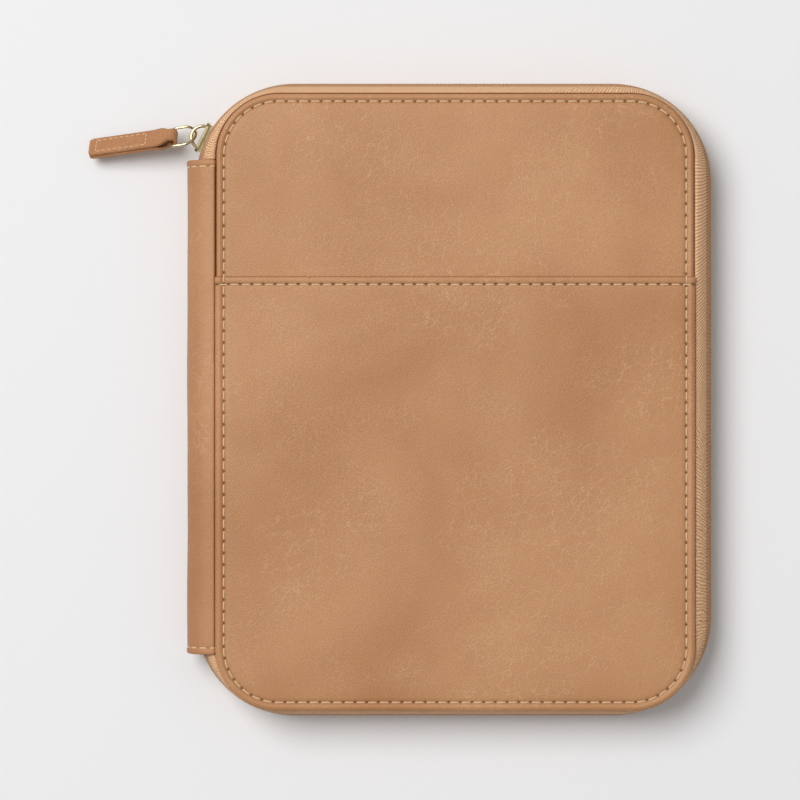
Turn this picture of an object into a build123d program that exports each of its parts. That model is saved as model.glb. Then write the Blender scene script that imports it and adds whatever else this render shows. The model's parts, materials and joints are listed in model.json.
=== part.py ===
"""Zip-round leather portfolio case, lying closed on its back cover.

Two padded leather covers are joined on the left by a soft leather spine and on the other three sides by
a reverse-coil zip. The front cover carries an outside pocket. Inside are a document pocket with two card
slots, a sleeve for a note pad and an elastic pen loop. The slider has a bail, a D-ring and a leather pull.

Frame: origin at the middle of the back cover's outer face, +X towards the zip's long side, +Y towards the
top edge, +Z up through the case. Millimetres.
"""
from build123d import *
import os
from math import atan2, cos, degrees, hypot, radians, sin

os.makedirs("parts", exist_ok=True)

# ---- Driving dimensions ----
COVER_W = 200.0
COVER_H = 258.0
COVER_R = 26.0
LEATHER = 1.1
FOAM = 1.4
BOARD = 1.6
SEAM_LAYER = 1.0          # where the zip tape and the spine are sewn in
LINING = 0.6
TOP_FACE = 26.0           # outer face of the front cover, without its pocket
MID = TOP_FACE / 2        # the case is closed on this plane

POCKET = 1.0              # thickness of the outside pocket
POCKET_LINING = 0.3
POCKET_WRAP = 0.5         # how far the pocket stands round the cover's rim
POCKET_EDGE_Y = 52.5
POCKET_HEM = 3.5          # edge of the pocket to its line of stitches

SEAM_INSET = 3.2          # edge of a cover to its line of stitches
THREAD_W = 0.8
THREAD_H = 0.45
GROOVE = 0.5              # depth of the groove that a line of stitches lies in
EDGE_ROUND = 0.8          # share of a leather's thickness that is rounded off at its edge

CHAIN_LEFT = -109.3       # plan of the zip's outer face, at half the case's height
CHAIN_RIGHT = 108.2
CHAIN_TOP = 134.1
CHAIN_BOTTOM = -132.2
CHAIN_R = 42.0
TAPE = 0.7
TAPE_UPRIGHT = 4.2        # the tape stands upright this far each side of the middle
TAPE_FLANGE = 8.0
FLANGE_T = 0.9
HALF_GAP = 0.4            # half the gap between the two halves of the zip
COIL_W = 2.0
COIL_T = 1.8
STOP_OVER = 0.3           # the stops are thicker than the coil by this
BOTTOM_STOP_OVER = 0.6    # the bottom stop reaches this far past the coils

SPINE_LOW_Y = -106.0
SPINE_HIGH_Y = 101.5
SPINE_CLEAR = 0.8         # tape ends stop this far from the spine
SPINE_LEATHER = 1.0
SPINE_OUT = 12.0          # how far the two middle fold lines stand out from the outer two
SPINE_EDGE = 0.5          # the outer fold lines stand this far off the covers
SPINE_MIDDLE = 10.8       # width of the middle strip
SPINE_HEM = 2.8
SPINE_THREAD = 0.3
SPINE_BOARD = 1.0
SPINE_BOARD_INSET = 4.0
SPINE_LINING = 0.5
LEATHER_SETBACK = 0.6     # gap left at each fold line so that the strips can turn
LINING_SETBACK = 1.8

STOP_LENGTH = 1.2
STOP_GAP = 0.2
SLIDER_ANGLE = 63.5       # place on the corner arc, from straight up, at rest
SLIDER_L = 13.6
SLIDER_W = 7.2
SLIDER_PLATE = 1.1
SLIDER_CLEAR = 1.15       # room for the tape under the outer plate
SLIDER_INNER_CLEAR = 0.6
SLIDER_WEB = 0.4
SLIDER_WEB_INSET = 0.6
SLIDER_CORNER = 2.4
BAIL_R = 4.8              # centre line of the bail's wire
BAIL_WIRE_R = 0.75
BAIL_SINK = 0.6           # the bail's centre lies this far inside the outer face

RING_WIRE_R = 0.6
RING_HALF_W = 5.6         # half the straight bar of the D
RING_LENGTH = 10.6        # bar to the round end
RING_GAP = 0.3            # round end to the bail's wire
RING_BEND = 1.6           # corners of the D
TAB_W = 10.0
TAB_T = 3.3
TAB_LENGTH = 36.0         # from the ring's bar to the tip
TAB_EYE_R = 2.4
TAB_EYE_GAP = 0.25
TAB_SHOULDER = 0.6        # the full width starts this far past the eye
TAB_CORNER = 1.2
TAB_SEAM_FROM = 11.2      # bar to the first cross stitch
TAB_SEAM_INSET = 1.6
TAB_TIP_INSET = 3.0
TAB_THREAD_W = 0.5
TAB_THREAD_H = 0.2
PULL_HEADING = 187.3      # direction of the pull in plan, degrees from +X
PULL_DROP = 10.55         # degrees below level
PULL_ROLL = 45.0          # the strap lies rolled by this much

PANEL = 0.9               # thickness of the pockets inside
PANEL_R = 20.0
PANEL_SEAM = 2.0          # edge of an inside pocket to its stitches
INSIDE_THREAD = 0.25
DOC_X = (-91.0, 96.0)
DOC_Y = (-124.0, 76.0)
CARD = 0.7
CARD_W = 96.0
CARD_H = 46.0
CARD_STEP = 16.0          # the upper card pocket is taller by this
CARD_SEAM_R = 3.6
CARD_X = -30.0
CARD_Y = -8.0
SLEEVE_X = (-72.0, 96.0)
SLEEVE_Y = (-124.0, -6.0)
PEN_LOOP_X = -84.0
PEN_LOOP_Y = 30.0
PEN_LOOP_L = 24.0
PEN_LOOP_W = 12.0
PEN_LOOP_H = 10.4
PEN_LOOP_T = 1.0
PEN_LOOP_R = 4.5

REACH = 200.0             # cutting blocks go this far, past every side of the case

# ---- Values worked out from them ----
LINING_FACE = TOP_FACE - LEATHER - FOAM - BOARD - SEAM_LAYER - LINING
SKIRT_FOOT = TOP_FACE - LEATHER - FOAM - BOARD
CORNER_X = CHAIN_LEFT + CHAIN_R
CORNER_TOP_Y = CHAIN_TOP - CHAIN_R
CORNER_LOW_Y = CHAIN_BOTTOM + CHAIN_R
EDGE_X = -COVER_W / 2
FOLD_EDGE_X = EDGE_X - SPINE_EDGE
FOLD_OUT_X = FOLD_EDGE_X - SPINE_OUT
FOLD_EDGE_Z = SKIRT_FOOT - SPINE_LEATHER / 2
SPINE_LENGTH = SPINE_HIGH_Y - SPINE_LOW_Y

made = {}


def keep(name, shape):
    """Write one node's solids to its STEP file."""
    solids = shape.solids()
    node = solids[0] if len(solids) == 1 else Compound(children=list(solids))
    node.label = name
    export_step(node, f"parts/{name}.step")
    made[name] = node
    return node


def block(x0, x1, y0, y1, z0, z1):
    """A box from its two corners."""
    return Pos((x0 + x1) / 2, (y0 + y1) / 2, (z0 + z1) / 2) * Box(x1 - x0, y1 - y0, z1 - z0)


def cover_outline(inset, z):
    """The cover's rounded outline, drawn in by inset, at height z."""
    return Pos(0, 0, z) * RectangleRounded(COVER_W - 2 * inset, COVER_H - 2 * inset, COVER_R - inset)


def chain_outline(inset, z):
    """The zip's rounded outline, drawn in by inset, at height z."""
    width = CHAIN_RIGHT - CHAIN_LEFT - 2 * inset
    height = CHAIN_TOP - CHAIN_BOTTOM - 2 * inset
    middle = Pos((CHAIN_LEFT + CHAIN_RIGHT) / 2, (CHAIN_TOP + CHAIN_BOTTOM) / 2, z)
    return middle * RectangleRounded(width, height, CHAIN_R - inset)


def cover_plate(inset, z0, z1):
    return extrude(cover_outline(inset, z0), z1 - z0)


def cover_ring(outer_inset, inner_inset, z0, z1):
    return cover_plate(outer_inset, z0, z1) - cover_plate(inner_inset, z0 - 1, z1 + 1)


def chain_ring(outer_inset, inner_inset, z0, z1):
    outer = extrude(chain_outline(outer_inset, z0), z1 - z0)
    return outer - extrude(chain_outline(inner_inset, z0 - 1), z1 - z0 + 2)


def to_back(shape):
    """The same piece on the back cover, mirrored in the closing plane."""
    return mirror(shape, about=Plane.XY.offset(MID))


def below(y):
    return block(-REACH, REACH, -REACH, y, -REACH, REACH)


def above(y):
    return block(-REACH, REACH, y, REACH, -REACH, REACH)


def corner_frame(angle, centre_y, up):
    """A frame on a left-hand corner arc: local X outwards, local Y along the zip towards the long edges."""
    out = Vector(-sin(radians(angle)), up * cos(radians(angle)), 0)
    along = Vector(cos(radians(angle)), up * sin(radians(angle)), 0)
    return Plane(origin=(CORNER_X, centre_y, MID), x_dir=out, z_dir=out.cross(along))


# ---- Covers: leather shell, foam, board and lining ----
def seam_ring(z0, z1):
    """The band that the stitches round a cover lie in."""
    return cover_ring(SEAM_INSET - THREAD_W / 2, SEAM_INSET + THREAD_W / 2, z0, z1)


def cover_leather():
    """Outer face with its edge turned down round the board, and a groove for the stitches."""
    face = cover_plate(0, TOP_FACE - LEATHER, TOP_FACE)
    face = fillet(face.faces().sort_by(Axis.Z)[-1].edges(), LEATHER * EDGE_ROUND)
    skirt = cover_ring(0, LEATHER, SKIRT_FOOT, TOP_FACE - LEATHER)
    return face + skirt, seam_ring(TOP_FACE - GROOVE, TOP_FACE + 1)


def make_covers():
    shell, groove = cover_leather()
    keep("front_cover_leather", shell - (groove & above(POCKET_EDGE_Y)))
    keep("back_cover_leather", to_back(shell - groove))
    foam = cover_plate(LEATHER + 0.1, TOP_FACE - LEATHER - FOAM, TOP_FACE - LEATHER)
    board = cover_plate(LEATHER + 0.1, SKIRT_FOOT, SKIRT_FOOT + BOARD)
    lining = cover_plate(LEATHER + 0.4, LINING_FACE, LINING_FACE + LINING)
    for name, shape in (("foam", foam), ("board", board), ("lining", lining)):
        keep(f"front_{name}", shape)
        keep(f"back_{name}", to_back(shape))


def make_pocket():
    """Outside pocket: a sheet over the lower part of the front cover, turned down round the rim with it."""
    top = TOP_FACE + POCKET
    sheet = cover_plate(-POCKET_WRAP, TOP_FACE, top)
    sheet = fillet(sheet.faces().sort_by(Axis.Z)[-1].edges(), POCKET * EDGE_ROUND)
    wrap = cover_ring(-POCKET_WRAP, 0, SKIRT_FOOT, TOP_FACE)
    lining = cover_plate(SEAM_INSET + 1, TOP_FACE, TOP_FACE + POCKET_LINING)
    lining = lining & below(POCKET_EDGE_Y - POCKET_HEM - 1)
    hem_y = POCKET_EDGE_Y - POCKET_HEM
    half = COVER_W / 2 - SEAM_INSET
    hem_groove = block(-half, half, hem_y - THREAD_W / 2, hem_y + THREAD_W / 2, top - GROOVE, top + 1)
    leather = ((sheet + wrap) & below(POCKET_EDGE_Y)) - lining - seam_ring(top - GROOVE, top + 1) - hem_groove
    keep("front_pocket_leather", leather)
    keep("front_pocket_lining", lining)
    thread_end = half - THREAD_W / 2 - 0.1
    keep("pocket_hem_thread", block(-thread_end, thread_end, hem_y - THREAD_W / 2, hem_y + THREAD_W / 2,
                                    top - GROOVE, top - GROOVE + THREAD_H))


def make_seam_threads():
    """One closed line of lockstitch round each cover, lying in the groove."""
    ring = seam_ring(TOP_FACE - GROOVE, TOP_FACE - GROOVE + THREAD_H)
    keep("back_seam_thread", to_back(ring))
    upper = ring & above(POCKET_EDGE_Y + 0.1)
    lower = Pos(0, 0, POCKET) * ring & below(POCKET_EDGE_Y - 0.1)
    keep("front_seam_thread", Compound(children=[*upper.solids(), *lower.solids()]))


# ---- Zip ----
def spine_window(margin=0.0):
    """The part of the left side that belongs to the spine."""
    return block(-REACH, EDGE_X + TAPE_FLANGE + 0.5, SPINE_LOW_Y - SPINE_CLEAR - margin,
                 SPINE_HIGH_Y + SPINE_CLEAR + margin, -REACH, REACH)


def make_zip():
    """Each tape is a flange sewn under the cover's rim, a sloping wall and an upright edge with the coil."""
    edge_z = MID + HALF_GAP
    bend_z = MID + TAPE_UPRIGHT

    def wall(inset):
        slope = loft([chain_outline(inset, bend_z), cover_outline(inset, SKIRT_FOOT)], ruled=True)
        return slope + extrude(chain_outline(inset, edge_z), bend_z - edge_z)

    tape = wall(0) - wall(TAPE) + cover_ring(0, TAPE_FLANGE, SKIRT_FOOT - FLANGE_T, SKIRT_FOOT)
    tape = tape - spine_window()
    keep("front_zip_tape", tape)
    keep("back_zip_tape", to_back(tape))

    coil = chain_ring(TAPE, TAPE + COIL_T, edge_z, edge_z + COIL_W) - spine_window(STOP_LENGTH + STOP_GAP)
    keep("front_zip_coil", coil)
    keep("back_zip_coil", to_back(coil))

    stop = chain_ring(TAPE, TAPE + COIL_T + STOP_OVER, edge_z, edge_z + COIL_W + STOP_OVER)
    high_end = SPINE_HIGH_Y + SPINE_CLEAR
    stop = stop & block(-REACH, CORNER_X, high_end, high_end + STOP_LENGTH, -REACH, REACH)
    keep("front_top_stop", stop)
    keep("back_top_stop", to_back(stop))
    half = COIL_W + BOTTOM_STOP_OVER
    low = chain_ring(TAPE + 0.05, TAPE + COIL_T + STOP_OVER, MID - half, MID + half)
    low_end = SPINE_LOW_Y - SPINE_CLEAR
    low = low & block(-REACH, CORNER_X, low_end - STOP_LENGTH, low_end, -REACH, REACH)
    keep("zip_bottom_stop", low)


# ---- Spine: one leather strip, cut at its four fold lines ----
def fold_lines():
    """Section points of the fold lines, from the back cover round to the front cover."""
    low = (FOLD_EDGE_X, TOP_FACE - FOLD_EDGE_Z)
    high = (FOLD_EDGE_X, FOLD_EDGE_Z)
    return [low, (FOLD_OUT_X, MID - SPINE_MIDDLE / 2), (FOLD_OUT_X, MID + SPINE_MIDDLE / 2), high]


def strip(start, end, setbacks, inside_from, inside_to, y0, y1):
    """A flat strip between two fold lines. inside_from and inside_to are depths towards the case's inside."""
    length = hypot(end[0] - start[0], end[1] - start[1])
    angle = degrees(atan2(end[1] - start[1], end[0] - start[0]))
    flat = block(setbacks[0], length - setbacks[1], y0, y1, -inside_to, -inside_from)
    return Pos(start[0], 0, start[1]) * Rot(0, -angle, 0) * flat


def make_spine():
    points = fold_lines()
    half = SPINE_LEATHER / 2
    leather_ends = (LEATHER_SETBACK, LEATHER_SETBACK)
    lining_ends = (LINING_SETBACK, LINING_SETBACK)
    for i, name in enumerate(("lower", "middle", "upper")):
        ends = points[i], points[i + 1]
        keep(f"spine_leather_{name}", strip(*ends, leather_ends, -half, half, SPINE_LOW_Y, SPINE_HIGH_Y))
        depth = half + (SPINE_BOARD if name == "middle" else 0)
        keep(f"spine_lining_{name}", strip(*ends, lining_ends, depth, depth + SPINE_LINING,
                                           SPINE_LOW_Y + 1, SPINE_HIGH_Y - 1))
        hems = [strip(*ends, lining_ends, -half - SPINE_THREAD, -half, y - THREAD_W / 2, y + THREAD_W / 2)
                for y in (SPINE_LOW_Y + SPINE_HEM, SPINE_HIGH_Y - SPINE_HEM)]
        keep(f"spine_thread_{name}", Compound(children=hems))
    keep("spine_board", strip(points[1], points[2], lining_ends, half, half + SPINE_BOARD,
                              SPINE_LOW_Y + SPINE_BOARD_INSET, SPINE_HIGH_Y - SPINE_BOARD_INSET))
    flange = block(EDGE_X, EDGE_X + TAPE_FLANGE, SPINE_LOW_Y, SPINE_HIGH_Y, SKIRT_FOOT - FLANGE_T, SKIRT_FOOT)
    flange = flange & cover_plate(0.05, 0, TOP_FACE)
    keep("spine_flange_front", flange)
    keep("spine_flange_back", to_back(flange))


# ---- Inside: pockets and pen loop ----
def rounded_block(x0, x1, y0, y1, z0, z1, radius):
    plan = Pos((x0 + x1) / 2, (y0 + y1) / 2, z0) * RectangleRounded(x1 - x0, y1 - y0, radius)
    return extrude(plan, z1 - z0)


def pocket_seam(x, y, z0, z1, radius):
    """Stitches down one side of a pocket, along its foot and up the other side."""
    def inside(inset, low, high):
        return rounded_block(x[0] + inset, x[1] - inset, y[0] + inset, y[1] - inset,
                             low, high, radius - inset)

    ring = inside(PANEL_SEAM, z0, z1) - inside(PANEL_SEAM + THREAD_W, z0 - 1, z1 + 1)
    return ring & below(y[1] - radius)


def make_inside():
    face = LINING_FACE - PANEL
    keep("document_pocket", rounded_block(*DOC_X, *DOC_Y, face, LINING_FACE, PANEL_R))
    keep("document_pocket_thread", pocket_seam(DOC_X, DOC_Y, face - INSIDE_THREAD, face, PANEL_R))
    card_right = CARD_X + CARD_W
    keep("card_slot_upper", block(CARD_X, card_right, CARD_Y, CARD_Y + CARD_H + CARD_STEP, face - CARD, face))
    keep("card_slot_lower", block(CARD_X, card_right, CARD_Y, CARD_Y + CARD_H, face - 2 * CARD, face - CARD))
    card_face = face - 2 * CARD
    keep("card_slot_thread", pocket_seam((CARD_X, card_right), (CARD_Y, CARD_Y + CARD_H),
                                         card_face - INSIDE_THREAD, card_face, CARD_SEAM_R))

    base = TOP_FACE - LINING_FACE
    sleeve_face = base + PANEL
    keep("pad_sleeve", rounded_block(*SLEEVE_X, *SLEEVE_Y, base, sleeve_face, PANEL_R))
    keep("pad_sleeve_thread", pocket_seam(SLEEVE_X, SLEEVE_Y, sleeve_face, sleeve_face + INSIDE_THREAD,
                                          PANEL_R))
    half_w, half_l = PEN_LOOP_W / 2, PEN_LOOP_L / 2
    loop = block(PEN_LOOP_X - half_w, PEN_LOOP_X + half_w, PEN_LOOP_Y - half_l, PEN_LOOP_Y + half_l,
                 base, base + PEN_LOOP_H)
    loop = fillet(loop.edges().filter_by(Axis.Y).sort_by(Axis.Z)[-2:], PEN_LOOP_R)
    hole = block(PEN_LOOP_X - half_w + PEN_LOOP_T, PEN_LOOP_X + half_w - PEN_LOOP_T, -REACH, REACH,
                 base + PEN_LOOP_T, base + PEN_LOOP_H - PEN_LOOP_T)
    hole = fillet(hole.edges().filter_by(Axis.Y), PEN_LOOP_R - PEN_LOOP_T)
    keep("pen_loop", loop - hole)


# ---- Slider, D-ring and leather pull ----
def slider_frame():
    return corner_frame(SLIDER_ANGLE, CORNER_TOP_Y, 1)


def slider_outer_face():
    return CHAIN_R + SLIDER_CLEAR + SLIDER_PLATE


def bail_tip():
    """How far the middle of the bail's wire stands from the corner's centre."""
    return slider_outer_face() - BAIL_SINK + BAIL_R


def make_slider():
    """Two plates over and under the chain, joined by a web between its halves. Local X is outwards."""
    frame = slider_frame().location

    def plate(x0, length):
        flat = block(x0, x0 + SLIDER_PLATE, -length / 2, length / 2, -SLIDER_W / 2, SLIDER_W / 2)
        return fillet(flat.edges().filter_by(Axis.X), SLIDER_CORNER)

    outer_x = CHAIN_R + SLIDER_CLEAR
    inner_x = CHAIN_R - TAPE - COIL_T - SLIDER_INNER_CLEAR - SLIDER_PLATE
    half = SLIDER_L / 2 - SLIDER_WEB_INSET
    web = block(inner_x + SLIDER_PLATE / 2, outer_x + SLIDER_PLATE / 2, -half, half,
                -SLIDER_WEB / 2, SLIDER_WEB / 2)
    keep("slider_body", frame * (plate(outer_x, SLIDER_L) + plate(inner_x, SLIDER_L - 1) + web))

    face = slider_outer_face()
    reach = BAIL_R + 2
    arch = Pos(face - BAIL_SINK, 0, 0) * Torus(BAIL_R, BAIL_WIRE_R)
    keep("slider_bail", frame * (arch & block(face, face + reach, -reach, reach, -reach, reach)))


def pull_frame():
    """Frame of the D-ring and pull: origin at the ring's round end, X towards the tip, Y along the bar."""
    heading = Vector(cos(radians(PULL_HEADING)), sin(radians(PULL_HEADING)), 0)
    drop, roll = radians(PULL_DROP), radians(PULL_ROLL)
    along = heading * cos(drop) - Vector(0, 0, sin(drop))
    rise = heading * sin(drop) + Vector(0, 0, cos(drop))
    side = rise.cross(along)
    bar = side * cos(roll) + rise * sin(roll)
    frame = slider_frame()
    depth = bail_tip() - BAIL_WIRE_R - RING_GAP - RING_WIRE_R
    start = frame.origin + frame.x_dir * depth
    return Plane(origin=start, x_dir=along, z_dir=along.cross(bar))


def make_ring():
    """A wire bent to a D: the straight bar, two rounded corners, two legs and the round end."""
    straight = RING_LENGTH - RING_HALF_W
    bar_end = RING_HALF_W - RING_BEND
    with BuildPart() as ring:
        with BuildLine() as line:
            bar = Line((RING_LENGTH, -bar_end), (RING_LENGTH, bar_end))
            TangentArc((RING_LENGTH, bar_end), (RING_LENGTH - RING_BEND, RING_HALF_W), tangent=(0, 1))
            leg = Line((RING_LENGTH - RING_BEND, RING_HALF_W), (RING_LENGTH - straight, RING_HALF_W))
            end = TangentArc(leg @ 1, (RING_LENGTH - straight, -RING_HALF_W), tangent=(-1, 0))
            back_leg = Line(end @ 1, (RING_LENGTH - RING_BEND, -RING_HALF_W))
            TangentArc(back_leg @ 1, bar @ 0, tangent=(1, 0))
        with BuildSketch(Plane(origin=bar @ 0, z_dir=(0, 1, 0))):
            Circle(RING_WIRE_R)
        sweep(path=line.wires()[0])
    return ring.part


def make_strap():
    """The folded strap, with a narrower eye round the ring's bar."""
    bar, tip = RING_LENGTH, RING_LENGTH + TAB_LENGTH
    shoulder = bar + TAB_EYE_R + TAB_SHOULDER
    half_t, half_neck = TAB_T / 2, TAB_W / 2 - RING_BEND
    eye = Pos(bar, 0, 0) * Rot(90, 0, 0) * Cylinder(TAB_EYE_R, 2 * half_neck)
    strap = block(shoulder, tip, -TAB_W / 2, TAB_W / 2, -half_t, half_t)
    strap = fillet(strap.edges().filter_by(Axis.Z).sort_by(Axis.X)[-2:], TAB_CORNER)
    neck = block(bar, shoulder + 0.1, -half_neck, half_neck, -half_t, half_t)
    hole = Pos(bar, 0, 0) * Rot(90, 0, 0) * Cylinder(RING_WIRE_R + TAB_EYE_GAP, TAB_W + 2)
    return strap + neck + eye - hole


def strap_stitches(z0):
    """The stitched rectangle on one face of the strap."""
    def rectangle(inset, low, high):
        half = TAB_W / 2 - TAB_SEAM_INSET - inset
        return block(RING_LENGTH + TAB_SEAM_FROM + inset, RING_LENGTH + TAB_LENGTH - TAB_TIP_INSET - inset,
                     -half, half, low, high)

    return rectangle(0, z0, z0 + TAB_THREAD_H) - rectangle(TAB_THREAD_W, z0 - 1, z0 + 1)


def make_pull():
    frame = pull_frame().location
    keep("pull_ring", frame * make_ring())
    keep("pull_tab_leather", frame * make_strap())
    faces = strap_stitches(TAB_T / 2), strap_stitches(-TAB_T / 2 - TAB_THREAD_H)
    keep("pull_tab_thread", frame * Compound(children=[s for face in faces for s in face.solids()]))


make_covers()
make_pocket()
make_seam_threads()
make_zip()
make_spine()
make_inside()
make_slider()
make_pull()

fold = degrees(atan2(FOLD_EDGE_Z - MID - SPINE_MIDDLE / 2, SPINE_OUT))
print("nodes", len(made), "fold lines", fold_lines(), "outer fold angle", round(fold, 4))
frame = slider_frame()
print("slider out", frame.x_dir, "corner centre", frame.origin, "pull start", pull_frame().origin)
print("pull lowest", made["pull_tab_leather"].bounding_box().min.Z)
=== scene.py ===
"""Zip-round leather portfolio case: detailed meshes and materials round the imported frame.

Lengths in the mesh code are millimetres, in the part's own frame; make_piece() turns them into metres.
"""
import bmesh
import bpy
import json
from math import asin, cos, pi, radians, sin
import numpy as np
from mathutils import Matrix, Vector
from mathutils.geometry import delaunay_2d_cdt


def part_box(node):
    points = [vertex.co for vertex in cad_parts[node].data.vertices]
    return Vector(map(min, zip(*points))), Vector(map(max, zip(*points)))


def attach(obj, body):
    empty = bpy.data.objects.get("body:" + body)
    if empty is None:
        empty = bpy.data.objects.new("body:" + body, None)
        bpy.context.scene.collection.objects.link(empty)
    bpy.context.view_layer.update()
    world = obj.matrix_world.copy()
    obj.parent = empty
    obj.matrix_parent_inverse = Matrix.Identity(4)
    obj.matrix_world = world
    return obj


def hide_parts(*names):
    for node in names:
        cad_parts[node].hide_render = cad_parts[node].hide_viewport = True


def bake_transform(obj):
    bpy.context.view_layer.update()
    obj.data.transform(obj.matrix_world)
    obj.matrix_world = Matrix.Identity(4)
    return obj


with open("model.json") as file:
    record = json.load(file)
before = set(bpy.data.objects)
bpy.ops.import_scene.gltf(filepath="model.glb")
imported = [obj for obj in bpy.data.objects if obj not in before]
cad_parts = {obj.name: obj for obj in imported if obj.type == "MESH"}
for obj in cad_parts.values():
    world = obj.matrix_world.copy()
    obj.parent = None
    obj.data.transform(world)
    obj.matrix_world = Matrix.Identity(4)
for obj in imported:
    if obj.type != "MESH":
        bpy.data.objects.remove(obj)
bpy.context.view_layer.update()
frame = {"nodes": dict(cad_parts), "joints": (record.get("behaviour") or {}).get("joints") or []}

MM = 0.001


def box_mm(node):
    low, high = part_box(node)
    return low / MM, high / MM


def joint(name):
    return next(j for j in frame["joints"] if j["name"] == name)


def joint_mm(name):
    return Vector(joint(name)["pos_m"]) / MM


# ---- Sizes from the frame ----
cover_low, cover_high = box_mm("front_cover_leather")
pocket_low, pocket_high = box_mm("front_pocket_leather")
spine_low, spine_high = box_mm("spine_leather_middle")
tape_low, tape_high = box_mm("front_zip_tape")
TOP = cover_high.z                    # the covers' outer face
MID = TOP / 2                         # the case closes on this plane
SKIRT = cover_low.z                   # foot of the front cover's turned-down edge
POCKET_Y = pocket_high.y              # mouth of the outside pocket
POCKET = pocket_high.z - TOP
WRAP = pocket_high.x - cover_high.x
SPINE_Y = (spine_low.y, spine_high.y)
SPINE_X = -cover_high.x - 0.2
corner = joint_mm("slider_travel")
CHAIN_R = tape_high.y - corner.y
FOLDS = [joint_mm(name) for name in ("fold_back", "case_open", "fold_middle", "fold_front")]

# ---- Sizes chosen here ----
WELD = 0.0005                         # points closer than this are one
COVER_R = 26.0
LEATHER = 1.1
SEAM_INSET = 3.2                      # edge of a cover to its line of stitches
STITCH = 4.9
STITCH_STEPS = 12                     # mesh columns along one stitch
STRAND = 9                            # points along one stitch's thread
HOLE = 0.45                           # half the width of a needle hole
THREAD_R = 0.36
SEAM_THREAD_LIFT = 0.2
RIM_DROP = 0.2                        # the rim's band lies this far below the cover's nominal face
RIM_ROUND = 0.3                       # the band's own roundness, between the edge and the seam
SEAM_DIP = 0.42
SEAM_DIP_W = 0.95
PUFF_NEAR = (0.4, 3.0)                # (height, reach) of the padding's rise beside the seam
PUFF_FAR = (0.6, 15.0)                # and over the rest of the face
HOLE_DEPTH = 0.36
# width of the painted shade drawn round each needle hole
HOLE_SHADE = 0.42
BAND = 12.0                           # width of the fine mesh round each cover
GRID = 6.0                            # coarse mesh in the middle of a face
UNDER_GRID = (14, 10)                 # under a face: the mesh's spacing and its distance from the border
HEM = 3.5                             # pocket's mouth to its line of stitches
HEM_TRIM = 0.4                        # the mouth's stitches end this far from the cover's edges
LIP = 6.0                             # fine mesh along the pocket's mouth
TAPE = 0.7
COIL_PITCH = 1.6
COIL_TRIM = 1.6                       # the coil ends this far inside the tape's ends
COIL_WIRE = 0.26
SPINE_GAP = 0.12                      # the tape ends this far from the spine
TAPE_OVERRUN = 17.0                   # more tape than needed, before its ends are cut square
SPINE_BULGE = 12.6                    # the spine stands out this far from the covers' edges
SPINE_HEM = 2.8
SPINE_FLANK_SHADE = 0.22                     # painted shade: how much darker the spine's outer flank is, where it turns away from the light
SPINE_SQUARENESS = 2.15               # 2 is an ellipse
RIM_PUFF = 3.3                        # tape and spine stand this far above the foot of the rim
INSIDE_STITCH = 3.2
LOOP_WALL = 1.0                       # the pen loop's elastic

# The pull lies in a frame of its own: X along the strap from the ring's bar, Y along the bar.
PULL_HEADING = radians(187.3)
PULL_DROP = radians(10.55)
TAB_W = 10.0
TAB_LENGTH = 36.0
TAB_LAYER = 1.42
TAB_GAP = 0.03                        # half the gap between the two layers
TAB_EYE = 0.95                        # inner radius of the fold round the bar
TAB_OPEN = 9.5                        # the layers part this far from the bar
TAB_NECK = 1.7                        # the fold is narrower by this on each side
TAB_BEND = 0.28                       # roundness of the strap's edges
TAB_SEAM = 1.6                        # the strap's sides to its stitches
TAB_FROM = 11.2                       # the stitches start here
TAB_TIP = 3.0                         # and end this far from the tip
TAB_STITCH = 2.5

# Sections of the tape: (share of the way from the cover's edge to the zip's outer face, inset, height).
TAPE_OUTER = [(0, 7.0, SKIRT - 0.15), (0, 0.5, SKIRT - 0.2), (0.012, 0, SKIRT - 0.1),
              (0.03, 0, SKIRT + 0.3), (0.06, 0, 24.0), (0.12, 0, 24.4), (0.2, 0, 24.3), (0.32, 0, 23.7),
              (0.44, 0, 22.9), (0.54, 0, 21.9), (0.645, 0, 20.8), (0.665, 0, 20.5), (0.69, 0, 20.45),
              (0.76, 0, 19.8), (0.83, 0, 18.95), (0.895, 0, 17.85), (0.945, 0, 16.7), (0.98, 0, 15.6),
              (0.995, 0, 14.6), (0.99, 0, 13.9), (0.965, 0, 13.45)]
TAPE_INNER = [(0.93, 0.25, 13.5), (0.93, 0.3, 14.4), (0.915, 0.3, 15.6), (0.86, 0.3, 16.9),
              (0.78, 0.3, 18.1), (0.62, 0.3, 20.1), (0.38, 0.2, 22.1), (0.2, 0.2, 22.9), (0.1, 0.3, 22.4),
              (0.03, 0.5, 21.3), (0, 1.2, 20.95), (0, 7.0, 20.95)]
TAPE_CHAIN_ROW = 11                   # the coil is sewn on from this row of the outer section

# The spine's four parts, each across one fold line between two bodies.
SPINE_PARTS = [("back", ("back_cover", "spine_lower")), ("lower", ("spine_lower", "spine_middle")),
               ("upper", ("spine_middle", "spine_upper")), ("front", ("spine_upper", "front_cover"))]


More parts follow.
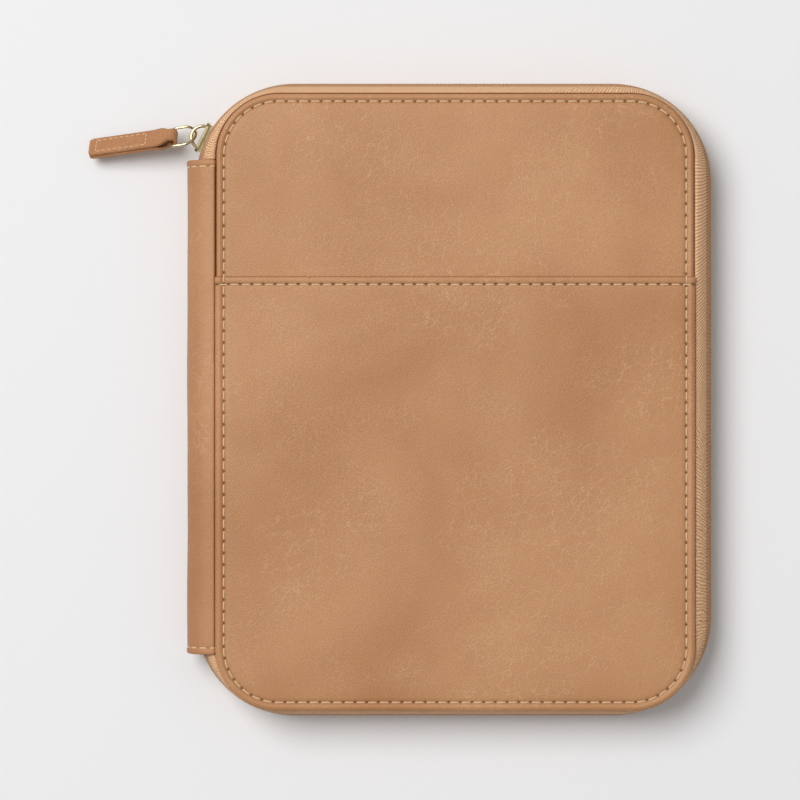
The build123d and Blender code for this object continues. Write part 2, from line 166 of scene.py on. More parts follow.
# ---- Outlines ----
class Track:
    """A rounded rectangle, walked anticlockwise from the foot of its right side."""

    def __init__(self, x0, x1, y0, y1, radius):
        self.radius = radius
        self.box = x0, x1, y0, y1
        self.centres = [(x1 - radius, y1 - radius), (x0 + radius, y1 - radius),
                        (x0 + radius, y0 + radius), (x1 - radius, y0 + radius)]
        across, up = x1 - x0 - 2 * radius, y1 - y0 - 2 * radius
        quarter = pi * radius / 2
        self.lengths = [up, quarter, across, quarter, up, quarter, across, quarter]
        self.total = sum(self.lengths)

    def locate(self, distance):
        """The stretch that a distance falls in, and the share of it that is passed."""
        distance %= self.total
        for stretch, length in enumerate(self.lengths):
            if distance <= length:
                return stretch, distance / length if length else 0.0
            distance -= length
        return 7, 1.0

    def place(self, stretch, share):
        """Point and outward normal."""
        side, on_arc = divmod(stretch, 2)
        angle = side * pi / 2
        if on_arc:
            angle += share * pi / 2
            cx, cy = self.centres[side]
            return cx + self.radius * cos(angle), cy + self.radius * sin(angle), cos(angle), sin(angle)
        cx, cy = self.centres[side - 1]
        run = share * self.lengths[stretch]
        nx, ny = cos(angle), sin(angle)
        return cx + self.radius * nx - ny * run, cy + self.radius * ny + nx * run, nx, ny

    def at(self, distances):
        return np.array([self.place(*self.locate(s)) for s in distances])

    def inset(self, x, y):
        """How far inside the outline each point is."""
        x0, x1, y0, y1 = self.box
        dx = np.abs(x - (x0 + x1) / 2) - (x1 - x0) / 2 + self.radius
        dy = np.abs(y - (y0 + y1) / 2) - (y1 - y0) / 2 + self.radius
        outside = np.hypot(np.maximum(dx, 0), np.maximum(dy, 0))
        return self.radius - outside - np.minimum(np.maximum(dx, dy), 0)

    def outward(self, x, y, step=0.01):
        """Outward direction of the outline nearest to each point."""
        gx = self.inset(x - step, y) - self.inset(x + step, y)
        gy = self.inset(x, y - step) - self.inset(x, y + step)
        length = np.maximum(np.hypot(gx, gy), 1e-9)
        return np.column_stack([gx / length, gy / length])


COVER = Track(-cover_high.x, cover_high.x, -cover_high.y, cover_high.y, COVER_R)
SEAM = Track(*(side * (1 - SEAM_INSET / abs(side)) for side in COVER.box), COVER_R - SEAM_INSET)
CHAIN = Track(corner.x - CHAIN_R, tape_high.x, tape_low.y, tape_high.y, CHAIN_R)
SEAM_STITCHES = round(SEAM.total / STITCH)
SEAM_PITCH = SEAM.total / SEAM_STITCHES


# ---- Mesh helpers ----
def make_piece(name, points, faces, material, uvs=None, flat=(), sewn=None):
    """A mesh object from points in millimetres. flat lists the faces that aren't shaded smooth, and sewn
    gives each point's painted shade: in needle holes, grooves, under the pocket's fold and on the spine's outer
    flank."""
    mesh = bpy.data.meshes.new(name)
    mesh.from_pydata((np.asarray(points, float) * MM).tolist(), [], [list(f) for f in faces])
    if sewn is not None:
        marks = np.zeros(len(points), np.float32)
        marks[:len(sewn)] = sewn
        mesh.attributes.new("sewn", "FLOAT", "POINT").data.foreach_set("value", marks)
    mesh.polygons.foreach_set("use_smooth", [True] * len(mesh.polygons))
    for index in flat:
        mesh.polygons[index].use_smooth = False
    if uvs is not None:
        layer = mesh.uv_layers.new(name="Cloth")
        loops = np.zeros(len(mesh.loops), np.int32)
        mesh.loops.foreach_get("vertex_index", loops)
        layer.data.foreach_set("uv", (np.asarray(uvs, float)[loops] * MM).astype(np.float32).ravel())
    mesh.materials.append(material)
    piece = bpy.data.objects.new(name, mesh)
    bpy.context.scene.collection.objects.link(piece)
    return piece


def weld(piece, distance=WELD):
    """Joins points that coincide and turns every face outwards."""
    mesh = bmesh.new()
    mesh.from_mesh(piece.data)
    bmesh.ops.remove_doubles(mesh, verts=mesh.verts, dist=distance * MM)
    bmesh.ops.recalc_face_normals(mesh, faces=mesh.faces)
    mesh.to_mesh(piece.data)
    mesh.free()


def settle(piece, body, *nodes, distance=WELD):
    """Welds a piece, puts it on its body and hides the CAD nodes that it stands for."""
    weld(piece, distance)
    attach(piece, body)
    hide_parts(*nodes)


def shifted(faces, start):
    return [tuple(start + i for i in face) for face in faces]


def grid_faces(rows, columns, first=0, round_rows=False, round_columns=False):
    faces = []
    for r in range(rows if round_rows else rows - 1):
        below, above = first + r * columns, first + (r + 1) % rows * columns
        for c in range(columns if round_columns else columns - 1):
            d = (c + 1) % columns
            faces.append((below + c, below + d, above + d, above + c))
    return faces


def end_faces(rows, columns):
    """The two faces that close a grid's first and last column."""
    return [tuple(range(column, rows * columns, columns)) for column in (0, columns - 1)]


def fill(track, border, height, spacing=GRID, keep_off=4.0):
    """Triangles over the face inside a closed border of (x, y, z) points. The border's own points come first."""
    border = np.asarray(border)
    flat = [Vector((x, y)) for x, y in border[:, :2]]
    x0, y0 = border[:, :2].min(0)
    x1, y1 = border[:, :2].max(0)
    edge_inset = track.inset(border[:, 0], border[:, 1]).min()
    for step, every in ((1.2, 3), (3.2, 8)):              # two thinned rings just inside the border
        ring = border[::every]
        inner = ring[:, :2] - track.outward(ring[:, 0], ring[:, 1]) * step
        inside = (inner[:, 1] < y1 - step * 0.7) & (inner[:, 1] > y0 + step * 0.7)
        flat += [Vector(p) for p in inner[inside]]
    for x in np.arange(x0 + keep_off, x1 - keep_off / 2, spacing):
        for y in np.arange(y0 + keep_off + 2, y1 - keep_off, spacing):
            if track.inset(x, y) > edge_inset + keep_off + 1:
                flat.append(Vector((x, y)))
    count = len(border)
    points, _, faces, sources, _, _ = delaunay_2d_cdt(flat, [], [list(range(count))], 1, 1e-5)
    order = [None] * len(points)
    for new, old in enumerate(sources):
        for one in old:
            if one < count:
                order[new] = one
    free = [i for i, o in enumerate(order) if o is None]
    for place, i in enumerate(free):
        order[i] = count + place
    inner = np.array([points[i] for i in free]).reshape(-1, 2)
    heights = height(inner[:, 0], inner[:, 1])
    return np.column_stack([inner, heights]), [tuple(order[i] for i in face) for face in faces]


def closed_shell(track, rings, face_height, under_height):
    """Points and faces of a shell: its rings from the underside round the edge, and both sides filled."""
    columns = len(rings[0])
    points = np.concatenate(rings)
    last = len(points) - columns
    face, face_faces = fill(track, rings[-1], face_height)
    points = np.concatenate([points, face])
    under, under_faces = fill(track, rings[0], lambda x, y: np.full(len(x), under_height), *UNDER_GRID)
    shift = len(points) - columns
    faces = grid_faces(len(rings), columns, round_columns=True) + shifted(face_faces, last)
    faces += [tuple(i if i < columns else i + shift for i in f) for f in under_faces]
    return np.concatenate([points, under]), faces


def to_back(points):
    """The same points on the back cover."""
    return np.asarray(points) * (1, 1, -1) + (0, 0, 2 * MID)


def unit(vectors):
    return vectors / np.linalg.norm(vectors, axis=1)[:, None]


def arc(x, z, radius, start, end, steps):
    """Points of a profile along an arc, angles in degrees."""
    turns = [radians(start + (end - start) * i / steps) for i in range(steps + 1)]
    return [(x + radius * cos(a), z + radius * sin(a)) for a in turns]


def bump(value, width):
    return np.exp(-(value / width) ** 2)


# ---- The covers' faces ----
def swell(x, y):
    """Slow, shallow waves of a padded leather face."""
    a = np.sin(x / 23 + 1.3 * np.sin(y / 31 + 0.4))
    b = np.sin(y / 27 + 1.7 * np.sin(x / 37 + 1.1))
    c = np.sin((x + y) / 11 + 2.1 * np.sin((x - y) / 19))
    return 0.045 * a + 0.045 * b + 0.018 * c


def face_level(x, y, inset):
    """Height of a padded cover's face above its nominal face. Negative on the rim."""
    inward = np.maximum(inset - SEAM_INSET, 0)
    rise = sum(height * (1 - np.exp(-inward / reach)) for height, reach in (PUFF_NEAR, PUFF_FAR))
    return rise + swell(x, y) * np.clip(inward / 20, 0, 1) - RIM_DROP


def cover_height(x, y):
    return TOP + face_level(x, y, COVER.inset(x, y))


def seam_phase(along):
    """Distance from the nearest needle hole of the seam."""
    return ((along / SEAM_PITCH + 0.5) % 1 - 0.5) * SEAM_PITCH


def needle_hole(along, across):
    """One at the middle of a needle hole, zero away from it."""
    return bump(along, HOLE) * bump(across - 0.1, HOLE)


def seam_dip(inset, along):
    """Depth of the sewn groove and its needle holes, less the roundness of the band outside it."""
    across = inset - SEAM_INSET
    hole = needle_hole(seam_phase(along), across)
    return SEAM_DIP * bump(across, SEAM_DIP_W) + HOLE_DEPTH * hole - RIM_ROUND * bump(inset - 1.5, 0.9)


def seam_shade(along, inset):
    """Painted shade of the leather in the seam's groove and needle holes."""
    hole = bump(seam_phase(along), HOLE_SHADE) * bump(inset - SEAM_INSET - 0.1, HOLE_SHADE)
    return np.minimum(1.15 * hole + 0.22 * bump(inset - SEAM_INSET, 0.5), 1)


def rim_profile(edge, top, foot, round_in=1.6):
    """(inset, height) from the foot of the turned-down edge up, over the rim's band and on to the face."""
    rows = [(edge + 0.9, foot + 0.25), (edge + 0.7, foot + 0.05), (edge + 0.35, foot),
            (edge + 0.1, foot + 0.1), (edge, foot + 0.4), (edge, foot + 1.2), (edge, top - 1.9)]
    rows += [(edge + round_in - x, z) for x, z in arc(0, top - round_in, round_in, 0, 90, 8)][1:]
    inner = [1.7, 2.0, 2.35, 2.65, 2.85, 3.05, 3.25, 3.45, 3.7, 4.0, 4.4, 4.9, 5.3, 5.8, 7.5, 9.7, 10.1, 10.5,
             BAND]
    return rows + [(inset, top) for inset in inner if inset > edge + round_in]


def cover_rows(samples, rows, top, lift=None):
    """Points of the rim's band: one row for each profile point, one column for each sample."""
    spots = SEAM.at(samples)
    made = []
    for inset, z in rows:
        x = spots[:, 0] + spots[:, 2] * (SEAM_INSET - inset)
        y = spots[:, 1] + spots[:, 3] * (SEAM_INSET - inset)
        height = np.full(len(samples), z)
        if z > top - 1.2:
            share = min(1.0, (z - top + 1.2) / 1.2)
            height += share * face_level(x, y, np.full(len(x), inset))
            height -= seam_dip(inset, samples)
        if lift is not None:
            x, y, height = lift(x, y, height, inset, spots)
        made.append(np.column_stack([x, y, height]))
    return made


def cover_leather(side):
    columns = SEAM_STITCHES * STITCH_STEPS
    samples = np.arange(columns) * SEAM.total / columns
    under = TOP - LEATHER - 0.1
    rows = [(LEATHER, under)] + rim_profile(0.0, TOP, SKIRT)
    rings = cover_rows(samples, rows, TOP)
    rings[0][:, 2] = under
    points, faces = closed_shell(COVER, rings, cover_height, under)
    # painted shade in the seam's groove and needle holes, one row at a time
    marks = [seam_shade(samples, inset if z > TOP - 1 else 99) for inset, z in rows]
    if side == "back":
        points = to_back(points)
        points[:, 2] = np.maximum(points[:, 2], 0)        # pressed flat where the case lies on it
    piece = make_piece(f"{side}_cover_shell", points, faces, leather, sewn=np.concatenate(marks))
    settle(piece, f"{side}_cover", f"{side}_cover_leather")


# ---- Stitches ----
def stitch_mesh(centres, tangents, ups, radius, dive, sides=7):
    """One lockstitch: a rounded strand between two needle holes. centres run from hole to hole."""
    count = len(centres)
    side = np.cross(tangents, ups)
    share = np.linspace(-1, 1, count)
    sink = dive * np.abs(share) ** 5
    points, uvs = [], []
    run = 0.0
    for i in range(count):
        run += np.linalg.norm(centres[i] - centres[i - 1]) if i else 0.0
        thick = radius * (1 - 0.25 * abs(share[i]) ** 6)
        for k in range(sides):
            turn = 2 * pi * k / sides
            out = side[i] * cos(turn) + ups[i] * sin(turn) * 0.85
            points.append(centres[i] + out * thick - ups[i] * sink[i])
            uvs.append((run, turn * radius))
    faces = grid_faces(count, sides, round_columns=True)
    faces.append(tuple(reversed(range(sides))))
    faces.append(tuple(range((count - 1) * sides, count * sides)))
    return points, faces, uvs


def stitch_line(name, stitches, bodies, nodes=(), radius=THREAD_R, dive=0.75, blend=None):
    """Many stitches in one piece. Each stitch is (centres, tangents, ups)."""
    points, faces, uvs = [], [], []
    for stitch in stitches:
        more_points, more_faces, more_uvs = stitch_mesh(*stitch, radius, dive)
        faces += shifted(more_faces, len(points))
        points += more_points
        uvs += more_uvs
    piece = make_piece(name, points, faces, thread, uvs)
    if blend:
        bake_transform(piece)
    else:
        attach(piece, bodies)
    if nodes:
        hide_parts(*nodes)


def strand_shares(pitch, trim):
    """Places of one thread's points along its stitch."""
    return np.linspace(trim / pitch, 1 - trim / pitch, STRAND)


def straight_stitches(start, end, up, pitch=STITCH, lift=0.1, level=None, trim=0.42):
    """Stitches along a straight line from start to end."""
    start, end, up = np.array(start, float), np.array(end, float), np.array(up, float)
    length = np.linalg.norm(end - start)
    count = max(1, round(length / pitch))
    tangent = (end - start) / length
    made = []
    for i in range(count):
        shares = (i + strand_shares(pitch, trim)) / count
        centres = start + np.outer(shares * length, tangent) + up * lift
        if level is not None:
            centres[:, 2] += level(centres[:, 0], centres[:, 1])
        made.append((centres, np.tile(tangent, (STRAND, 1)), np.tile(up, (STRAND, 1))))
    return made


def track_stitches(track, start, end, count, height, up=1, trim=0.42):
    """Stitches along an outline. height gives the thread's level, and up is -1 for a face that looks down."""
    pitch = (end - start) / count
    made = []
    for k in range(count):
        spots = track.at(start + (k + strand_shares(pitch, trim)) * pitch)
        centres = np.column_stack([spots[:, 0], spots[:, 1], height(spots[:, 0], spots[:, 1])])
        tangents = np.column_stack([-spots[:, 3], spots[:, 2], np.zeros(STRAND)])
        made.append((centres, tangents, np.tile([0.0, 0.0, up], (STRAND, 1))))
    return made


def seam_stitches(side, height):
    """The line of stitches round a cover. height gives the surface under the thread."""
    back = side == "back"

    def level(x, y):
        front = height(x, y) + SEAM_THREAD_LIFT
        return 2 * MID - front if back else front

    made = track_stitches(SEAM, 0, SEAM.total, SEAM_STITCHES, level, -1 if back else 1)
    stitch_line(f"{side}_seam_stitches", made, f"{side}_cover", (f"{side}_seam_thread",))


def groove_floor(x, y):
    return cover_height(x, y) - SEAM_DIP


def front_groove_floor(x, y):
    """The same on the front cover, where the pocket lies over part of the seam."""
    below_mouth = POCKET_Y - y
    return groove_floor(x, y) + np.where(below_mouth > 0, lip_lift(np.maximum(below_mouth, 0)), 0)


# ---- Outside pocket ----
def lip_lift(below_mouth):
    """How far the pocket's surface stands off the cover, by distance below its mouth."""
    return POCKET * np.interp(np.asarray(below_mouth, float),
                              [0, 0.08, 0.22, 0.45, 0.8, 1.2, 1.9, 2.6, 3.0, 3.5, 4.0, 4.8, 6.0],
                              [0.3, 0.62, 0.9, 1.14, 1.32, 1.42, 1.44, 1.30, 1.05, 0.80, 0.92, 1.0, 1.0])


def hem_phase(x):
    """Distance from the nearest needle hole of the mouth's line of stitches."""
    start = cover_high.x - HEM_TRIM
    count = round(2 * start / STITCH)
    share = (x + start) / (2 * start) * count
    return ((share + 0.5) % 1 - 0.5) * 2 * start / count


def hem_hole(x, below_mouth):
    return HOLE_DEPTH * needle_hole(hem_phase(x), below_mouth - HEM + 0.25)


def hem_shade(x, below_mouth):
    """Painted shade of the leather round the mouth's needle holes, along its groove and in the fold's shadow."""
    hole = bump(hem_phase(x), HOLE_SHADE) * bump(below_mouth - HEM + 0.15, HOLE_SHADE)
    return np.minimum(1.15 * hole + 0.25 * bump(below_mouth - HEM, 0.45) + 0.5 * bump(below_mouth, 0.3), 1)


def pocket_height(x, y):
    below_mouth = POCKET_Y - y
    return cover_height(x, y) + lip_lift(below_mouth) - hem_hole(x, below_mouth)


def pocket_under_height(x, y):
    return cover_height(x, y) + 0.04


def pocket_outer_lift(x, y, height, inset, spots):
    """Moves a row of the rim outwards and upwards with the fold of the pocket's mouth."""
    below_mouth = POCKET_Y - spots[:, 1]
    stand = lip_lift(below_mouth) - POCKET
    if inset < 1.6:
        squeeze = 0.35 + 0.65 * (np.clip(height - SKIRT, 0, 4) / 4) ** 2
        x = x + spots[:, 2] * stand * 0.45 * squeeze
        y = y + spots[:, 3] * stand * 0.45 * squeeze
        return x, y, height + stand * np.clip((height - TOP + 1.6) / 1.6, 0, 1)
    return x, y, height + stand - hem_hole(x, below_mouth)


def pocket_inner_rows(spots):
    """The underside of the pocket's rim, from its foot up the inside and under the face."""
    made = []
    for inset, z in ((0.06, SKIRT + 1.2), (-0.04, SKIRT + 1.6), (-0.04, TOP - 1.8), (0.4, TOP - 0.5),
                     (1.2, TOP - 0.06), (2.0, TOP - 0.02), (BAND, TOP - 0.01)):
        x = spots[:, 0] + spots[:, 2] * (SEAM_INSET - inset)
        y = spots[:, 1] + spots[:, 3] * (SEAM_INSET - inset)
        height = np.full(len(x), z)
        if z > TOP - 0.6:
            height += face_level(x, y, np.full(len(x), inset)) + 0.05
        made.append(np.column_stack([x, y, height]))
    return made


def pocket_leather():
    """The pocket's panel: its sewn rim, its folded mouth and the face between them, over a plain underside."""
    mouth_rows = [0, 0.08, 0.22, 0.45, 0.8, 1.2, 1.9, 2.3, 2.6, 2.85, 3.05, 3.25, 3.5, 3.75, 4.1, 4.8, LIP]
    mouth_above_corner = POCKET_Y - SEAM.centres[2][1]
    left_mouth = sum(SEAM.lengths[:5]) - mouth_above_corner
    right_mouth = SEAM.total + mouth_above_corner
    columns = SEAM_STITCHES * STITCH_STEPS
    whole = np.arange(2 * columns) * SEAM.total / columns
    middle = whole[(whole > left_mouth + LIP + 0.2) & (whole < right_mouth - LIP - 0.2)]
    ends = np.array(mouth_rows)
    samples = np.concatenate([left_mouth + ends, middle, right_mouth - ends[::-1]])

    profile = rim_profile(-WRAP, TOP + POCKET, SKIRT)
    outer = cover_rows(samples, profile, TOP + POCKET, pocket_outer_lift)
    under = pocket_inner_rows(SEAM.at(samples))
    outer[0][:, :2] = under[0][:, :2]
    outer[0][:, 2] = SKIRT + 0.3
    rings = list(reversed(under)) + outer
    width = len(samples)
    # painted shade of the rim's seam and of the mouth's needle holes, groove and fold
    marks = [np.zeros(len(under) * width)]
    for ring, (inset, z) in zip(outer, profile):
        seam = seam_shade(samples, inset if z > TOP + POCKET - 1 else 99)
        marks.append(np.maximum(seam, hem_shade(ring[:, 0], POCKET_Y - ring[:, 1])))

    # The face: a fine strip along the mouth and a coarse fill below it.
    inner_x = cover_high.x - BAND
    steps = int(round(2 * inner_x / STITCH)) * STITCH_STEPS
    xs = np.linspace(-inner_x, inner_x, steps + 1)
    strip = []
    for below_mouth in mouth_rows:
        y = np.full(len(xs), POCKET_Y - below_mouth)
        strip.append(np.column_stack([xs, y, pocket_height(xs, y)]))
        marks.append(hem_shade(xs, POCKET_Y - y))
    lip = len(mouth_rows) - 1
    border = np.concatenate([outer[-1][lip:width - lip], strip[-1][-2:0:-1]])
    inside, inside_faces = fill(COVER, border, pocket_height)

    # The underside, and the narrow edge that closes the mouth.
    mouth_y = np.full(len(xs), POCKET_Y)
    mouth_under = TOP + 0.04 + face_level(xs, mouth_y, np.full(len(xs), BAND))
    back_edge = np.column_stack([xs, mouth_y, mouth_under])
    low_border = np.concatenate([under[-1], back_edge[-2:0:-1]])
    under_face, under_faces = fill(COVER, low_border, pocket_under_height, *UNDER_GRID)

    patches = [(rings, grid_faces(len(rings), width)),
               (strip, grid_faces(len(strip), len(xs))),
               ([border, inside], inside_faces),
               ([low_border, under_face], under_faces),
               ([strip[0], back_edge], grid_faces(2, len(xs)))]
    patches += [([[ring[column] for ring in rings]], [range(len(rings))]) for column in (0, width - 1)]
    points, faces, count = [], [], 0
    for rows, patch in patches:
        faces += shifted(patch, count)
        points += rows
        count += sum(len(row) for row in rows)
    piece = make_piece("front_pocket_panel", np.concatenate(points), faces, leather,
                       sewn=np.concatenate(marks))
    settle(piece, "front_cover", "front_pocket_leather", "front_pocket_lining", distance=0.002)


def hem_stitches():
    """The line of stitches along the pocket's mouth."""
    reach, y = cover_high.x - HEM_TRIM, POCKET_Y - HEM
    made = straight_stitches((-reach, y, 0), (reach, y, 0), (0, 0, 1),
                             level=lambda x, y: cover_height(x, y) + lip_lift(POCKET_Y - y))
    stitch_line("pocket_hem_stitches", made, "front_cover", ("pocket_hem_thread",))


# ---- Zip ----
def tape_path():
    """Distances along the zip's outline of the tape's two ends, by way of the bottom left corner."""
    low_y, high_y = SPINE_Y[0] - SPINE_GAP, SPINE_Y[1] + SPINE_GAP
    before = CHAIN.total - sum(CHAIN.lengths[5:])
    start = before + CHAIN_R * asin((CHAIN.centres[2][1] - low_y) / CHAIN_R)
    last = sum(CHAIN.lengths[:4])
    end = CHAIN.total + last - CHAIN_R * asin((high_y - CHAIN.centres[1][1]) / CHAIN_R)
    return start, end


def tape_across(rows):
    """Distance across the tape to each row of its section, where the tape is on the right."""
    x = [share * (CHAIN.box[1] - COVER.box[1]) - inset for share, inset, _ in rows]
    z = [height for _, _, height in rows]
    return np.concatenate([[0], np.cumsum(np.hypot(np.diff(x), np.diff(z)))])


def zip_tape(side):
    """Tape of one half: sewn under the rim, puffed up beside it, rounded over the coil and folded in."""
    start, end = tape_path()
    along = np.linspace(start - TAPE_OVERRUN, end + TAPE_OVERRUN, 790)
    chain = CHAIN.at(along)
    edge = np.array([COVER.place(*CHAIN.locate(s)) for s in along])
    section = TAPE_OUTER + TAPE_INNER
    across = tape_across(section)
    rows, uv_rows = [], []
    for (share, inset, z), v in zip(section, across):
        xy = edge[:, :2] * (1 - share) + chain[:, :2] * share - chain[:, 2:] * inset
        rows.append(np.column_stack([xy, np.full(len(xy), z)]))
        uv_rows.append(np.column_stack([along, np.full(len(along), v)]))
    points = np.concatenate(rows)
    faces = grid_faces(len(rows), len(along), round_rows=True)
    caps = len(faces)
    faces += end_faces(len(rows), len(along))
    piece = make_piece(f"{side}_tape", to_back(points) if side == "back" else points, faces, tape,
                       np.concatenate(uv_rows), (caps, caps + 1))
    cut_tape_ends(piece)
    settle(piece, f"{side}_cover", f"{side}_zip_tape")


def cut_tape_ends(piece):
    """Cuts both ends of the tape square, just clear of the spine."""
    mesh = bmesh.new()
    mesh.from_mesh(piece.data)
    for y, side in ((SPINE_Y[1] + SPINE_GAP, 1), (SPINE_Y[0] - SPINE_GAP, -1)):
        verts = [v for v in mesh.verts if v.co.x < SPINE_X * 0.8 * MM and v.co.y * side > 0]
        edges = {e for v in verts for e in v.link_edges}
        faces = {f for v in verts for f in v.link_faces}
        cut = bmesh.ops.bisect_plane(mesh, geom=[*verts, *edges, *faces], plane_co=(0, y * MM, 0),
                                     plane_no=(0, side, 0), clear_inner=True)
        rim = [e for e in cut["geom_cut"] if isinstance(e, bmesh.types.BMEdge)]
        for face in bmesh.ops.holes_fill(mesh, edges=rim)["faces"]:
            face.smooth = False
    mesh.to_mesh(piece.data)
    mesh.free()


def zip_coil(side, per_turn=10, sides=5):
    """The nylon coil, one long helix along the inside of the tape."""
    start, end = tape_path()
    start, end = start + COIL_TRIM, end - COIL_TRIM
    steps = int((end - start) / COIL_PITCH) * per_turn
    spots = CHAIN.at(np.linspace(start, end, steps))
    turn = np.arange(steps) * 2 * pi / per_turn
    inset = TAPE + 1.0 + 0.62 * np.cos(turn)
    z = MID + 1.25 + 0.66 * np.sin(turn)
    centre = np.column_stack([spots[:, 0] - spots[:, 2] * inset, spots[:, 1] - spots[:, 3] * inset, z])
    radial = np.column_stack([-spots[:, 2] * np.cos(turn), -spots[:, 3] * np.cos(turn), np.sin(turn)])
    across = np.cross(unit(np.gradient(centre, axis=0)), radial)
    turns = [2 * pi * k / sides for k in range(sides)]
    points = np.concatenate([centre + COIL_WIRE * (radial * cos(a) + across * sin(a)) for a in turns])
    faces = grid_faces(sides, steps, round_rows=True) + end_faces(sides, steps)
    piece = make_piece(f"{side}_coil", to_back(points) if side == "back" else points, faces, coil)
    settle(piece, f"{side}_cover", f"{side}_zip_coil")


# ---- Spine ----
def spine_curve(depth=0.0, tuck=5.0, step=0.35):
    """Points of the spine's section from under the back cover's rim to under the front cover's, drawn in by
    depth, with their normals and their distances along it. A superellipse makes the bulge."""
    out, up, power = SPINE_BULGE, SKIRT + RIM_PUFF - MID, SPINE_SQUARENESS
    angles = np.linspace(-pi / 2, pi / 2, 721)
    c, s = np.cos(angles), np.sin(angles)
    x = SPINE_X - out * np.abs(c) ** (2 / power)
    z = MID + up * np.sign(s) * np.abs(s) ** (2 / power)
    turn = np.clip((x - SPINE_X + 1.1) / 1.1, 0, 1)       # down to the rim's foot in the last millimetre
    z -= np.sign(z - MID) * (RIM_PUFF + 0.35) * (1 - np.sqrt(1 - turn ** 2))
    x = np.concatenate([[SPINE_X + tuck], x, [SPINE_X + tuck]])
    z = np.concatenate([[z[0]], z, [z[-1]]])
    points = np.column_stack([x, z])
    run = np.concatenate([[0], np.cumsum(np.hypot(*np.diff(points, axis=0).T))])
    cuts = [run[i] for i in spine_cuts(points)]
    even = np.linspace(0, run[-1], int(run[-1] / step) + 1)
    even = np.array([s for s in even if min(abs(s - cut) for cut in cuts) > 0.1])
    even = np.sort(np.concatenate([even, *([cut - 0.04, cut, cut + 0.04] for cut in cuts)]))
    points = np.column_stack([np.interp(even, run, points[:, 0]), np.interp(even, run, points[:, 1])])
    tangent = unit(np.gradient(points, axis=0))
    normal = np.column_stack([-tangent[:, 1], tangent[:, 0]])
    return points - normal * depth, normal, even


def spine_blends():
    """Start and end of the bend at each fold line, in metres."""
    strip = (FOLDS[0] + FOLDS[1]) / 2
    low = [(FOLDS[0] + Vector((3.2, 0, -0.8)), FOLDS[0] + Vector((-4.6, 0, 1.1))),
           (strip + Vector((-1.4, 0, -0.4)), Vector((FOLDS[1].x, 0, MID - 3.8)))]
    high = [tuple(Vector((p.x, 0, 2 * MID - p.z)) for p in reversed(pair)) for pair in reversed(low)]
    return [tuple(p * MM for p in pair) for pair in low + high]


def spine_cuts(points):
    """The section's points where its four parts meet, half way along each strip."""
    cut_x = (FOLDS[0].x + FOLDS[1].x) / 2
    low = np.argmin(np.abs(points[:, 0] - cut_x) + (points[:, 1] > MID) * 99)
    middle = np.argmin(np.abs(points[:, 1] - MID) + (points[:, 0] > cut_x) * 99)
    high = np.argmin(np.abs(points[:, 0] - cut_x) + (points[:, 1] < MID) * 99)
    return low, middle, high


def cut_section(points, index):
    """First point of one part, and the one after its last."""
    cuts = [0, *spine_cuts(points), len(points) - 1]
    return cuts[index], cuts[index + 1] + 1


def spine_stations(y0, y1):
    """Places along the spine, close together at its ends, and how far each is from the nearer end."""
    ends = np.array([0, 0.1, 0.3, 0.6, 1.0, 1.5, 2.0, 2.35, 2.6, 2.8, 3.0, 3.3, 3.8, 4.6, 6.0, 9.0])
    ys = np.concatenate([y0 + ends, np.linspace(y0 + 14, y1 - 14, 24), y1 - ends[::-1]])
    return ys, np.minimum(ys - y0, y1 - ys)


def spine_layer(name, outer_depth, thick, margin, material, nodes, hem):
    """One layer of the spine as four pieces, each across one fold line. hem is for the leather, whose ends
    are turned in and sewn. The cloth's parts have none."""
    outer, normal, run = spine_curve(outer_depth)
    y0, y1 = SPINE_Y[0] + margin, SPINE_Y[1] - margin
    ys, from_end = spine_stations(y0, y1)
    if hem:
        extra = np.interp(from_end, [0, 0.1, 0.3, 0.6, 1.0, 2.0, 2.5, 2.8, 3.2, 4.0],
                          [-0.4, -0.15, 0.05, 0.2, 0.28, 0.25, 0.0, -0.2, -0.05, 0])
    else:
        extra = np.interp(from_end, [0, 0.3, 0.8], [-0.2, -0.05, 0])
    for index, ((part, bodies), bend, part_nodes) in enumerate(zip(SPINE_PARTS, spine_blends(), nodes)):
        first, last = cut_section(outer, index)
        section, out, along = outer[first:last], normal[first:last], run[first:last]
        free = 1 - np.clip((section[:, 0] - SPINE_X) / 1.5, 0, 1)      # none where it is tucked in
        rows = []
        for y, raised, near in zip(ys, extra, from_end):
            lift = np.full(len(section), raised)
            if hem:
                phase = np.abs((along / STITCH) % 1 - 0.5) - 0.5
                lift = lift - 0.35 * bump(phase * STITCH, HOLE) * bump(near - SPINE_HEM, HOLE)
            wave = 0.10 * np.sin(y / 17 + 0.8) + 0.06 * np.sin(y / 7.3)
            lift = lift * free + wave * free * bump(section[:, 1] - MID, 7.5) * min(1, near / 8)
            xz = section + out * lift[:, None]
            rows.append(np.column_stack([xz[:, 0], np.full(len(xz), y), xz[:, 1]]))
        for y, near in zip(ys[::-1], from_end[::-1]):
            xz = section - out * (thick - np.interp(near, [0, 0.3, 0.6], [0.35, 0.1, 0]))
            rows.append(np.column_stack([xz[:, 0], np.full(len(xz), y), xz[:, 1]]))
        points = np.concatenate(rows)
        faces = grid_faces(len(rows), len(section), round_rows=True)
        caps = len(faces)
        faces += end_faces(len(rows), len(section))
        uvs = np.column_stack([np.tile(along, len(rows)), points[:, 1]])
        # painted shade on the spine's outer flank, darker the further out it bulges
        flank_shade = SPINE_FLANK_SHADE * np.clip((SPINE_X - points[:, 0]) / SPINE_BULGE, 0, 1) ** 2
        piece = make_piece(f"{name}_{part}", points, faces, material, uvs, (caps, caps + 1), flank_shade)
        weld(piece)
        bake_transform(piece)
        if part_nodes:
            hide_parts(*part_nodes)


def spine_nodes(kind):
    """The CAD nodes that each of the four parts stands for."""
    return [(f"spine_{kind}_lower",), (), (f"spine_{kind}_middle",), (f"spine_{kind}_upper",)]


